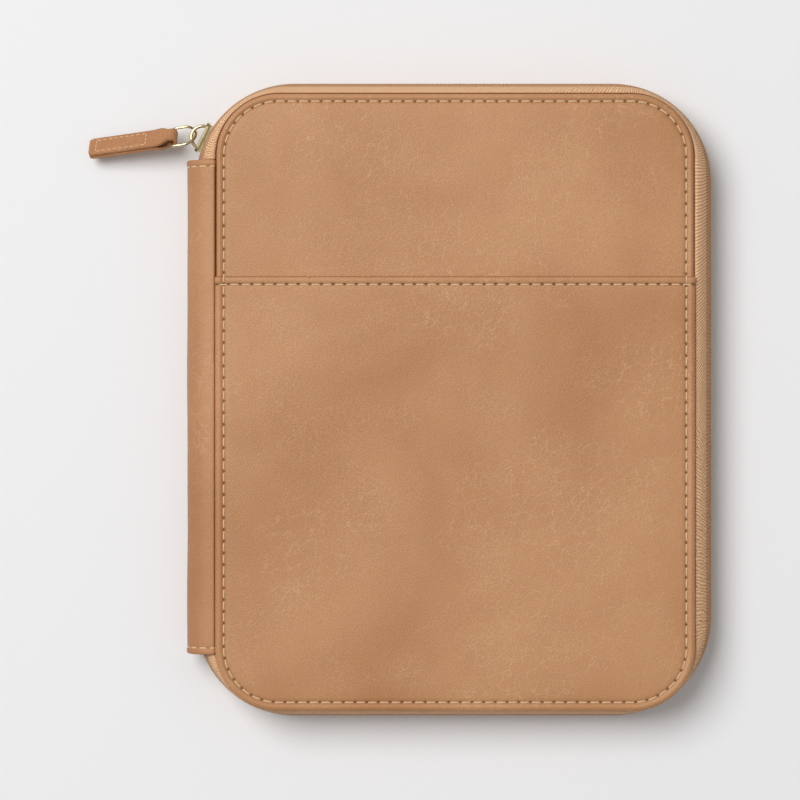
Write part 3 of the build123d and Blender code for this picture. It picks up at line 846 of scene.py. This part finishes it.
def spine_threads():
    """Lockstitches across both ends of the spine, in the part of the spine that they are sewn to."""
    outer, normal, run = spine_curve()
    stitches = [[] for _ in SPINE_PARTS]
    ends = [run[cut_section(outer, index)[1] - 1] for index in range(len(SPINE_PARTS))]
    for y in (SPINE_Y[0] + SPINE_HEM, SPINE_Y[1] - SPINE_HEM):
        for k in range(int(run[-1] / STITCH)):
            along = (k + np.linspace(0.09, 0.91, STRAND)) * STITCH
            x, z = (np.interp(along, run, outer[:, axis]) for axis in (0, 1))
            if x.max() > SPINE_X + 0.4:
                continue
            nx, nz = (np.interp(along, run, normal[:, axis]) for axis in (0, 1))
            ups = np.column_stack([nx, np.zeros(STRAND), nz])
            centres = np.column_stack([x, np.full(STRAND, y), z]) - ups * 0.08
            index = next(i for i, end in enumerate(ends) if along[STRAND // 2] <= end)
            stitches[index].append((centres, np.cross(ups, [0.0, 1.0, 0.0]), ups))
    for (part, bodies), made, bend, nodes in zip(SPINE_PARTS, stitches, spine_blends(), spine_nodes("thread")):
        stitch_line(f"spine_stitches_{part}", made, bodies, nodes, blend=bend)


# ---- Materials ----
def colour(r, g, b):
    """Linear colour from a colour as seen on a screen, 0 to 255."""
    def linear(value):
        value /= 255
        return value / 12.92 if value <= 0.04045 else ((value + 0.055) / 1.055) ** 2.4
    return linear(r), linear(g), linear(b), 1.0


class Shader:
    """Small helper that adds and links nodes of one material."""

    def __init__(self, name, roughness=0.6, metallic=0.0, sheen=0.0, specular=0.5):
        self.material = bpy.data.materials.new(name)
        self.material.use_nodes = True
        self.tree = self.material.node_tree
        self.shader = self.tree.nodes["Principled BSDF"]
        self.shader.inputs["Roughness"].default_value = roughness
        self.shader.inputs["Metallic"].default_value = metallic
        self.shader.inputs["Sheen Weight"].default_value = sheen
        self.shader.inputs["Specular IOR Level"].default_value = specular
        self.coordinates = self.tree.nodes.new("ShaderNodeTexCoord")

    def node(self, kind, inputs=None, **settings):
        node = self.tree.nodes.new(kind)
        for key, value in settings.items():
            setattr(node, key, value)
        for key, value in (inputs or {}).items():
            if isinstance(value, bpy.types.NodeSocket):
                self.tree.links.new(value, node.inputs[key])
            else:
                node.inputs[key].default_value = value
        return node

    def math(self, operation, a, b=0.0):
        return self.node("ShaderNodeMath", {0: a, 1: b}, operation=operation).outputs[0]

    def place(self, scale=(1, 1, 1), turn=(0, 0, 0), uv=False):
        source = self.coordinates.outputs["UV" if uv else "Object"]
        return self.node("ShaderNodeMapping", {"Vector": source, "Scale": scale, "Rotation": turn}).outputs[0]

    def noise(self, scale, detail=3.0, rough=0.5, distortion=0.0, where=None):
        where = where or self.coordinates.outputs["Object"]
        return self.node("ShaderNodeTexNoise", {"Vector": where, "Scale": scale, "Detail": detail,
                                                "Roughness": rough, "Distortion": distortion}).outputs["Fac"]

    def cells(self, scale, where=None, feature="F1"):
        """Distance from the middle or the edge of irregular cells."""
        return self.node("ShaderNodeTexVoronoi", {"Vector": where or self.place(), "Scale": scale},
                         feature=feature).outputs["Distance"]

    def wave(self, scale, axis="X", where=None, **inputs):
        return self.node("ShaderNodeTexWave", {"Vector": where or self.place(), "Scale": scale, **inputs},
                         bands_direction=axis).outputs["Fac"]

    def ramp(self, value, stops):
        node = self.node("ShaderNodeValToRGB", {"Fac": value})
        elements = node.color_ramp.elements
        while len(elements) < len(stops):
            elements.new(0.5)
        for element, (place, shade) in zip(elements, stops):
            element.position = place
            element.color = shade
        return node.outputs["Color"]

    def mix(self, share, a, b):
        return self.node("ShaderNodeMix", {0: share, 6: a, 7: b}, data_type="RGBA").outputs[2]

    def between(self, value, low, high, at_low=0.0, at_high=1.0):
        """A value's place in a range, turned into another range and held at its ends."""
        return self.node("ShaderNodeMapRange", {"Value": value, "From Min": low, "From Max": high,
                                                "To Min": at_low, "To Max": at_high}).outputs[0]

    def grey(self, value, low, high):
        """A value from 0 to 1 stretched to a range."""
        return self.between(value, 0.0, 1.0, low, high)

    def creases(self, scale, width, patch, patch_scale):
        """Fine branching lines, one on a line and zero between them, in patches of the face."""
        place = self.place()
        drift = self.node("ShaderNodeTexNoise", {"Vector": place, "Scale": scale * 1.3,
                                                 "Detail": 3.0}).outputs["Color"]
        warped = self.node("ShaderNodeVectorMath", {0: drift, 1: (0.9 / scale,) * 3, 2: place},
                           operation="MULTIPLY_ADD").outputs[0]
        line = self.between(self.cells(scale, warped, "DISTANCE_TO_EDGE"), 0.0, width, 1.0, 0.0)
        return self.math("MULTIPLY", line, self.between(self.noise(patch_scale, 3, 0.55), *patch))

    def bump(self, height, strength, distance, before=None):
        inputs = {"Height": height, "Strength": strength, "Distance": distance}
        if before is not None:
            inputs["Normal"] = before
        return self.node("ShaderNodeBump", inputs).outputs["Normal"]

    def finish(self, base, normal=None, rough=None):
        for value, name in ((base, "Base Color"), (normal, "Normal"), (rough, "Roughness")):
            if value is not None:
                self.tree.links.new(value, self.shader.inputs[name])
        return self.material


def make_leather(name, light, dark):
    """Natural tan leather: soft blotches, patches of fine drawn creases, pebble grain and pores, and painted
    shade from the sewn attribute.
    """
    s = Shader(name, roughness=0.5, specular=0.4)
    shade = s.ramp(s.noise(11, 3, 0.5, 0.4), [(0.34, dark), (0.66, light)])
    shade = s.mix(s.grey(s.noise(42, 4, 0.6, 0.9), -0.12, 0.3), shade, colour(186, 128, 84))
    fibre = s.noise(1, 5, 0.6, 0.3, s.place((260, 90, 260)))
    shade = s.mix(s.grey(fibre, 0.0, 0.12), shade, colour(166, 117, 76))
    wrinkles = s.creases(190, 0.045, (0.48, 0.6), 23)
    crackle = s.creases(480, 0.08, (0.46, 0.6), 38)
    shade = s.mix(s.math("MULTIPLY", wrinkles, 0.3), shade, colour(232, 188, 144))
    shade = s.mix(s.math("MULTIPLY", crackle, 0.26), shade, colour(226, 180, 134))
    pebble = s.between(s.cells(820.0, feature="DISTANCE_TO_EDGE"), 0.0, 0.22)
    shade = s.mix(s.grey(pebble, 0.16, 0.0), shade, colour(140, 94, 58))
    pores = s.between(s.cells(150.0), 0.03, 0.09)
    shade = s.mix(s.grey(pores, 0.22, 0.0), shade, colour(128, 84, 50))
    # painted shade: the sewn attribute darkens needle holes, grooves, the pocket's fold and the spine's outer
    # flank
    sewn = s.node("ShaderNodeAttribute", attribute_name="sewn").outputs["Fac"]
    shade = s.mix(sewn, shade, colour(92, 58, 32))
    normal = s.bump(s.noise(55, 4, 0.5), 0.3, 0.0009)
    normal = s.bump(wrinkles, 0.3, 0.00025, normal)
    normal = s.bump(crackle, 0.25, 0.00012, normal)
    normal = s.bump(pebble, 0.32, 0.00016, normal)
    normal = s.bump(s.noise(2600, 3, 0.6), 0.2, 0.00008, normal)
    return s.finish(shade, normal, s.grey(s.noise(60, 4, 0.6), 0.4, 0.58))


def make_thread():
    """Waxed thread with its twist."""
    s = Shader("waxed_thread", roughness=0.5, sheen=0.1)
    twist = s.wave(1100.0, where=s.place(turn=(0, 0, 0.7), uv=True), Distortion=0.4)
    shade = s.ramp(twist, [(0.0, colour(198, 152, 108)), (0.6, colour(246, 214, 172))])
    shade = s.mix(s.grey(s.noise(300, 2), 0.0, 0.3), shade, colour(226, 186, 140))
    return s.finish(shade, s.bump(twist, 0.6, 0.00012))


def weave(s, pitch, band):
    """Knots where slanting yarns cross, over faint twill lines whose slant turns from band to band."""
    split = s.node("ShaderNodeSeparateXYZ", {"Vector": s.coordinates.outputs["UV"]})
    u, v = split.outputs[0], split.outputs[1]
    uneven = s.math("MULTIPLY", s.noise(420, 2, 0.5), pitch * 0.9)
    along = s.math("MULTIPLY", s.math("ADD", u, uneven), 2 * pi / pitch)
    over = s.math("MULTIPLY", s.math("ADD", v, uneven), 2 * pi / pitch)
    knots = s.math("MULTIPLY", s.math("SINE", along), s.math("COSINE", over))
    slant = s.math("ADD", u, s.math("PINGPONG", v, band))
    lines = s.math("SINE", s.math("MULTIPLY", slant, 4 * pi / pitch))
    both = s.math("ADD", knots, s.math("MULTIPLY", lines, 0.12))
    return s.grey(s.math("MULTIPLY", s.math("ADD", both, 1.0), 0.5), 0.0, 1.0), u, v


def make_tape():
    """Woven zip tape with the coil's sewing showing, and painted shade darkening it where it is rounded over the
    coil.
    """
    s = Shader("zip_tape", roughness=0.8, specular=0.2)
    knots, u, v = weave(s, 0.0013, 0.0026)
    shade = s.ramp(knots, [(0.06, colour(158, 98, 56)), (0.34, colour(228, 166, 116)),
                           (0.8, colour(255, 226, 186))])
    shade = s.mix(s.grey(s.noise(700, 3, 0.6), 0.0, 0.3), shade, colour(184, 122, 76))
    chain = s.math("GREATER_THAN", v, tape_across(TAPE_OUTER)[TAPE_CHAIN_ROW] * MM)
    sewing = s.math("SINE", s.math("MULTIPLY", s.math("DIVIDE", u, COIL_PITCH * MM), 2 * pi))
    sewing = s.grey(s.math("MULTIPLY", s.math("ADD", sewing, 1.0), 0.5), 0.0, 1.0)
    # the band over the coil: the coil's sewing, and painted shade of the tape turning down over the coil
    band = s.ramp(sewing, [(0.1, colour(122, 74, 38)), (0.7, colour(168, 112, 66))])
    shade = s.mix(s.math("MULTIPLY", chain, 0.5), shade, band)
    height = s.math("ADD", knots, s.math("MULTIPLY", s.math("MULTIPLY", sewing, chain), 1.2))
    return s.finish(shade, s.bump(height, 0.8, 0.00025))


def make_coil():
    s = Shader("nylon_coil", roughness=0.35, specular=0.5)
    shade = s.mix(s.grey(s.noise(500, 2), 0.0, 1.0), colour(150, 108, 74), colour(172, 128, 92))
    return s.finish(shade, s.bump(s.noise(1500, 2), 0.2, 0.0001))


def make_cloth(name, light, dark, pitch=0.0006):
    """Plain woven cloth, by its place in the object."""
    s = Shader(name, roughness=0.85, sheen=0.3)
    warp, weft = (s.wave(0.314 / pitch, axis, Distortion=0.6, Detail=1.0) for axis in "XY")
    cloth = s.math("MULTIPLY", warp, weft)
    shade = s.ramp(cloth, [(0.0, dark), (0.7, light)])
    shade = s.mix(s.grey(s.noise(45, 3), 0.0, 0.25), shade, dark)
    return s.finish(shade, s.bump(cloth, 0.5, 0.00015))


def make_elastic():
    s = Shader("ribbed_elastic", roughness=0.8, sheen=0.2)
    ribs = s.wave(320.0, "Y")
    shade = s.ramp(ribs, [(0.0, colour(92, 66, 46)), (0.7, colour(138, 104, 74))])
    return s.finish(shade, s.bump(ribs, 0.7, 0.00025))


def make_foam():
    s = Shader("foam_sheet", roughness=0.9)
    cells = s.cells(1400.0)
    shade = s.ramp(cells, [(0.0, colour(196, 190, 176)), (0.6, colour(232, 228, 216))])
    return s.finish(shade, s.bump(cells, 0.5, 0.0002))


def make_board():
    s = Shader("grey_board", roughness=0.9)
    fibre = s.noise(1, 6, 0.7, 0.5, s.place((700, 120, 400)))
    shade = s.ramp(fibre, [(0.35, colour(132, 124, 112)), (0.65, colour(176, 168, 154))])
    return s.finish(shade, s.bump(fibre, 0.3, 0.0001))


def make_metal(name, light, dark, rough):
    """Plated metal with fine rubbing marks and a little wear."""
    s = Shader(name, roughness=rough, metallic=1.0)
    rubbed = s.noise(1, 5, 0.6, 0.2, s.place((400, 2600, 400)))
    shade = s.mix(s.grey(s.noise(240, 4, 0.6), 0.0, 1.0), light, dark)
    return s.finish(shade, s.bump(rubbed, 0.05, 0.00005), s.grey(rubbed, rough * 0.75, rough * 1.5))


leather = make_leather("tan_leather", colour(203, 151, 106), colour(182, 128, 84))
thread = make_thread()
tape = make_tape()
coil = make_coil()
lining_cloth = make_cloth("lining_cloth", colour(178, 150, 120), colour(140, 112, 86))
elastic = make_elastic()
foam = make_foam()
board = make_board()
pull_leather = make_leather("pull_leather", colour(190, 132, 86), colour(166, 110, 66))
slider_metal = make_metal("pale_gold_plate", colour(228, 212, 172), colour(200, 181, 136), 0.16)
stop_metal = make_metal("satin_stop_metal", colour(205, 196, 180), colour(182, 172, 154), 0.34)
inside_leather = make_leather("inside_leather", colour(196, 148, 108), colour(178, 128, 88))


# ---- Inside ----
def sheet_rows(z_wall, z_face):
    """Rows of a thin panel that lies on z_wall and shows its sewn face at z_face."""
    sign = 1 if z_face > z_wall else -1
    thick = abs(z_face - z_wall)
    bend = min(0.35, thick * 0.6)
    rows = [(bend, z_wall), (0.05, z_wall + sign * 0.1)]
    rows += [(bend - bend * cos(a), z_wall + sign * (thick - bend + bend * sin(a)))
             for a in (0, pi / 6, pi / 3, pi / 2)]
    return rows + [(1.0, z_face), (1.7, z_face - sign * 0.05), (2.3, z_face - sign * 0.12),
                   (2.9, z_face - sign * 0.05), (3.6, z_face)]


def inside_panel(name, node, radius, samples, side, material, slot, rests_on=None):
    """A flat panel inside one cover, its open face towards the other one."""
    low, high = box_mm(node)
    track = Track(low.x, high.x, low.y, high.y, radius)
    wall, face = (high.z, low.z) if side == "front" else (low.z, high.z)
    spots = track.at(np.arange(samples) * track.total / samples)
    rings = [np.column_stack([spots[:, :2] - spots[:, 2:] * inset, np.full(samples, z)])
             for inset, z in sheet_rows(wall, face)]
    points, faces = closed_shell(track, rings, lambda x, y: face + 0.05 * np.sin(x / 19) * np.sin(y / 23), wall)
    piece = make_piece(name, points, faces, material)
    settle(piece, f"{side}_cover", node)


def inside_stitches(node, side, radius):
    """The U-shaped line of stitches that holds a pocket on three sides."""
    up = -1 if side == "front" else 1
    low, high = box_mm(node)
    level = (high.z if up < 0 else low.z) + 0.05 * up
    track = Track(low.x + 0.4, high.x - 0.4, low.y + 0.4, high.y + radius, radius)
    start, end = sum(track.lengths[:4]), track.total + track.lengths[0]
    made = track_stitches(track, start, end, round((end - start) / INSIDE_STITCH),
                          lambda x, y: np.full(len(x), level), up)
    stitch_line(node.replace("thread", "stitches"), made, f"{side}_cover", (node,), 0.28, 0.45)


def make_inside():
    cloth = (lining_cloth, "lining")
    for side in ("front", "back"):
        inside_panel(f"{side}_cover_lining", f"{side}_lining", COVER_R - 1.5, 420, side, *cloth, f"{side}_board")
    inside_panel("document_pocket_panel", "document_pocket", 20.0, 400, "front", *cloth, "front_cover_lining")
    for which in ("upper", "lower"):
        inside_panel(f"card_pocket_{which}", f"card_slot_{which}", 3.0, 240, "front", inside_leather, "leather")
    inside_panel("pad_sleeve_panel", "pad_sleeve", 20.0, 400, "back", *cloth, "back_cover_lining")
    inside_stitches("document_pocket_thread", "front", 17.6)
    inside_stitches("card_slot_thread", "front", 1.2)
    inside_stitches("pad_sleeve_thread", "back", 17.6)


def pen_loop():
    """A band of elastic in a loop, its ends sewn under it."""
    low, high = box_mm("pen_loop")
    loop = Track(low.x, high.x, low.z, high.z, 4.5)
    spots = loop.at(np.linspace(0, loop.total, 97)[:-1])
    ys = np.concatenate([[low.y, low.y + 0.25, low.y + 0.6], np.linspace(low.y + 1.5, high.y - 1.5, 20),
                         [high.y - 0.6, high.y - 0.25, high.y]])
    pinch = np.interp(np.minimum(ys - low.y, high.y - ys), [0, 0.25, 0.6], [0.3, 0.08, 0])
    rows = []
    for y, inset in [*zip(ys, pinch), *zip(ys[::-1], LOOP_WALL - pinch[::-1])]:
        xz = spots[:, :2] - spots[:, 2:] * inset
        rows.append(np.column_stack([xz[:, 0], np.full(len(xz), y), xz[:, 1]]))
    faces = grid_faces(len(rows), len(spots), round_rows=True, round_columns=True)
    piece = make_piece("pen_loop_elastic", np.concatenate(rows), faces, elastic)
    settle(piece, "back_cover", "pen_loop")


# ---- Pull ----
bar_centre = joint_mm("tab_swing")
bar_dir = Vector(joint("tab_swing")["axis"])
strap_dir = Vector((cos(PULL_HEADING) * cos(PULL_DROP), sin(PULL_HEADING) * cos(PULL_DROP), -sin(PULL_DROP)))


def pull_points(points):
    """From (along the strap from the bar, across it, off it) to the part's frame."""
    basis = np.array([strap_dir, bar_dir, strap_dir.cross(bar_dir)])
    return np.array(bar_centre) + np.asarray(points, float) @ basis


def strap_line():
    """Middle line of the folded strap in its side view: one layer out to the fold and the other one back."""
    half = TAB_LAYER / 2 + TAB_GAP
    radius = TAB_EYE + TAB_LAYER / 2
    upper = [(TAB_LENGTH - from_tip, half) for from_tip in (0, 0.25, 0.7, 1.4, 2.2)]
    upper += [(x, half) for x in np.linspace(TAB_LENGTH - 3, TAB_OPEN, 60)]
    for t in np.linspace(0.06, 1, 20):
        ease = t * t * (3 - 2 * t)
        upper.append((TAB_OPEN * (1 - t) + 0.3 * t, half + (radius - half) * ease))
    turn = [(radius * cos(a), radius * sin(a)) for a in np.linspace(pi / 2 + 0.15, 3 * pi / 2 - 0.15, 21)]
    return np.array(upper + turn + [(x, -z) for x, z in reversed(upper)])


def pull_tab():
    """Leather strap folded round the ring's bar, its two layers sewn together."""
    line = strap_line()
    tangent = unit(np.gradient(line, axis=0))
    outward = np.column_stack([tangent[:, 1], -tangent[:, 0]])
    x, to_tip = line[:, :1], TAB_LENGTH - line[:, :1]
    neck = np.interp(x, [-3, 1.2, 3.4, 4.6], [TAB_NECK, TAB_NECK, 0.35, 0])
    tip = np.interp(to_tip, [0, 0.25, 0.7, 1.4, 2.2], [1.1, 0.62, 0.3, 0.06, 0])
    half_width = TAB_W / 2 - neck - tip

    # One turn round the strap's section: (place across it from -1 to 1, height off its middle, drawn in).
    h = TAB_LAYER / 2
    rounded = [(-h + TAB_BEND, 0), (h - TAB_BEND, 0), (h - TAB_BEND * 0.35, TAB_BEND * 0.3), (h, TAB_BEND)]
    across = np.linspace(-1, 1, 37)[1:-1]
    section = [(-1, z, drawn) for z, drawn in rounded] + [(c, h, 0) for c in across]
    section += [(1, z, drawn) for z, drawn in reversed(rounded)]
    section += [(1, -h, TAB_BEND)] + [(c, -h, 0) for c in across[::-6]] + [(-1, -h, TAB_BEND)]
    side, height, drawn = np.array(section).T

    y = side * half_width - np.sign(side) * drawn
    outer_face = (height == h) & (np.abs(side) < 1)
    from_side = half_width - np.abs(y)
    ends = np.maximum(bump(to_tip - TAB_TIP, 0.45), bump(x - TAB_FROM, 0.45))
    groove = np.maximum(bump(from_side - TAB_SEAM, 0.45), ends * (from_side > TAB_SEAM - 0.3))
    sewn = (x > TAB_FROM - 1) & (to_tip > TAB_TIP - 1)
    z = height + outer_face * (0.08 * (1 - (y / half_width) ** 2) - 0.22 * groove * sewn)
    rows = np.stack([x + outward[:, :1] * z, y, line[:, 1:] + outward[:, 1:] * z], axis=2)

    width = len(section)
    faces = grid_faces(len(line), width, round_columns=True)
    caps = len(faces)
    faces += [tuple(range(width)), tuple(range((len(line) - 1) * width, len(line) * width))]
    piece = make_piece("pull_strap", pull_points(rows.reshape(-1, 3)), faces, pull_leather, None,
                       (caps, caps + 1))
    settle(piece, "pull_tab", "pull_tab_leather")


def pull_stitches():
    """A rectangle of stitches on each side of the strap."""
    origin = np.array(bar_centre)
    x0, x1, y = TAB_FROM, TAB_LENGTH - TAB_TIP, TAB_W / 2 - TAB_SEAM
    stitches = []
    for sign in (1, -1):
        z = sign * (TAB_LAYER + TAB_GAP - 0.12)
        for a, b in (((x0, -y, z), (x1, -y, z)), ((x1, y, z), (x0, y, z)), ((x1, -y, z), (x1, y, z)),
                     ((x0, y, z), (x0, -y, z))):
            for centres, tangents, ups in straight_stitches(a, b, (0, 0, sign), TAB_STITCH, 0.02, trim=0.3):
                stitches.append((pull_points(centres), pull_points(tangents) - origin,
                                 pull_points(ups) - origin))
    stitch_line("pull_stitches", stitches, "pull_tab", ("pull_tab_thread",), 0.24, 0.4)


# ---- CAD pieces that already have the right shape ----
def finish_nodes(nodes, material, soft_edge=0):
    """Gives CAD pieces their material, and metal ones softened edges too."""
    for node in nodes:
        piece = frame["nodes"][node]
        piece.data.materials.clear()
        piece.data.materials.append(material)
        if soft_edge:
            soften = piece.modifiers.new("soft_edges", "BEVEL")
            soften.width = soft_edge * MM
            soften.segments = 2
            soften.limit_method = "ANGLE"
            soften.angle_limit = radians(40)
            piece.data.polygons.foreach_set("use_smooth", [True] * len(piece.data.polygons))


# ---- Put together ----
for cover in ("front", "back"):
    cover_leather(cover)
pocket_leather()
seam_stitches("front", front_groove_floor)
seam_stitches("back", groove_floor)
hem_stitches()
for cover in ("front", "back"):
    zip_tape(cover)
    zip_coil(cover)
spine_layer("spine_strip", 0.0, 0.8, 0.0, leather, spine_nodes("leather"), True)
spine_layer("spine_cloth", 1.9, 0.5, 1.0, lining_cloth, spine_nodes("lining"), False)
spine_threads()
make_inside()
pen_loop()
pull_tab()
pull_stitches()
finish_nodes(("slider_body", "slider_bail", "pull_ring"), slider_metal, 0.12)
finish_nodes(("front_top_stop", "back_top_stop", "zip_bottom_stop"), stop_metal, 0.2)
finish_nodes(("front_foam", "back_foam"), foam)
finish_nodes(("front_board", "back_board", "spine_board"), board)
finish_nodes(("spine_flange_front", "spine_flange_back"), leather)

# ---- Floor, light and camera ----
EYE = Vector((-23.08, 0.73, 1526.0)) * MM
VIEW_WIDTH = 334.8 * MM               # seen across the picture, at the covers' face
SENSOR = 36.0
FLOOR_REACH = 6.0


def add_object(name, data):
    made = bpy.data.objects.new(name, data)
    bpy.context.scene.collection.objects.link(made)
    return made


def make_floor():
    s = Shader("pale_floor", roughness=0.8, specular=0.2)
    shade = s.mix(s.grey(s.noise(3, 2), 0.0, 1.0), (0.86, 0.86, 0.865, 1), (0.87, 0.87, 0.875, 1))
    mesh = bpy.data.meshes.new("floor")
    corners = [(x * FLOOR_REACH, y * FLOOR_REACH, 0) for x, y in ((-1, -1), (1, -1), (1, 1), (-1, 1))]
    mesh.from_pydata(corners, [], [(0, 1, 2, 3)])
    mesh.materials.append(s.finish(shade))
    add_object("floor", mesh)


def soft_light(name, place, size, power):
    data = bpy.data.lights.new(name, "AREA")
    data.shape = "DISK"
    data.size = size
    data.energy = power
    lamp = add_object(name, data)
    lamp.location = place
    lamp.rotation_euler = (-Vector(place)).to_track_quat("-Z", "Y").to_euler()


def make_camera():
    data = bpy.data.cameras.new("camera")
    data.sensor_width = SENSOR
    data.lens = SENSOR * (EYE.z - TOP * MM) / VIEW_WIDTH
    data.clip_start = 0.01
    camera = add_object("camera", data)
    camera.location = EYE
    bpy.context.scene.camera = camera


def make_world():
    """A pale room, brighter overhead than at the horizon."""
    world = bpy.data.worlds.new("studio")
    bpy.context.scene.world = world
    world.use_nodes = True
    nodes, links = world.node_tree.nodes, world.node_tree.links
    direction = nodes.new("ShaderNodeTexCoord")
    split = nodes.new("ShaderNodeSeparateXYZ")
    height = nodes.new("ShaderNodeMapRange")
    links.new(direction.outputs["Generated"], split.inputs[0])
    links.new(split.outputs[2], height.inputs["Value"])
    height.inputs["To Min"].default_value = 0.08
    height.inputs["To Max"].default_value = 0.46
    background = nodes["Background"]
    background.inputs["Color"].default_value = (1.0, 1.0, 1.0, 1)
    links.new(height.outputs[0], background.inputs["Strength"])


make_floor()
soft_light("key_light", (-1.55, 1.2, 3.2), 2.5, 111)
soft_light("fill_light", (2.2, -0.3, 1.6), 1.8, 2)
make_camera()
make_world()
bpy.context.scene.view_settings.view_transform = "Standard"
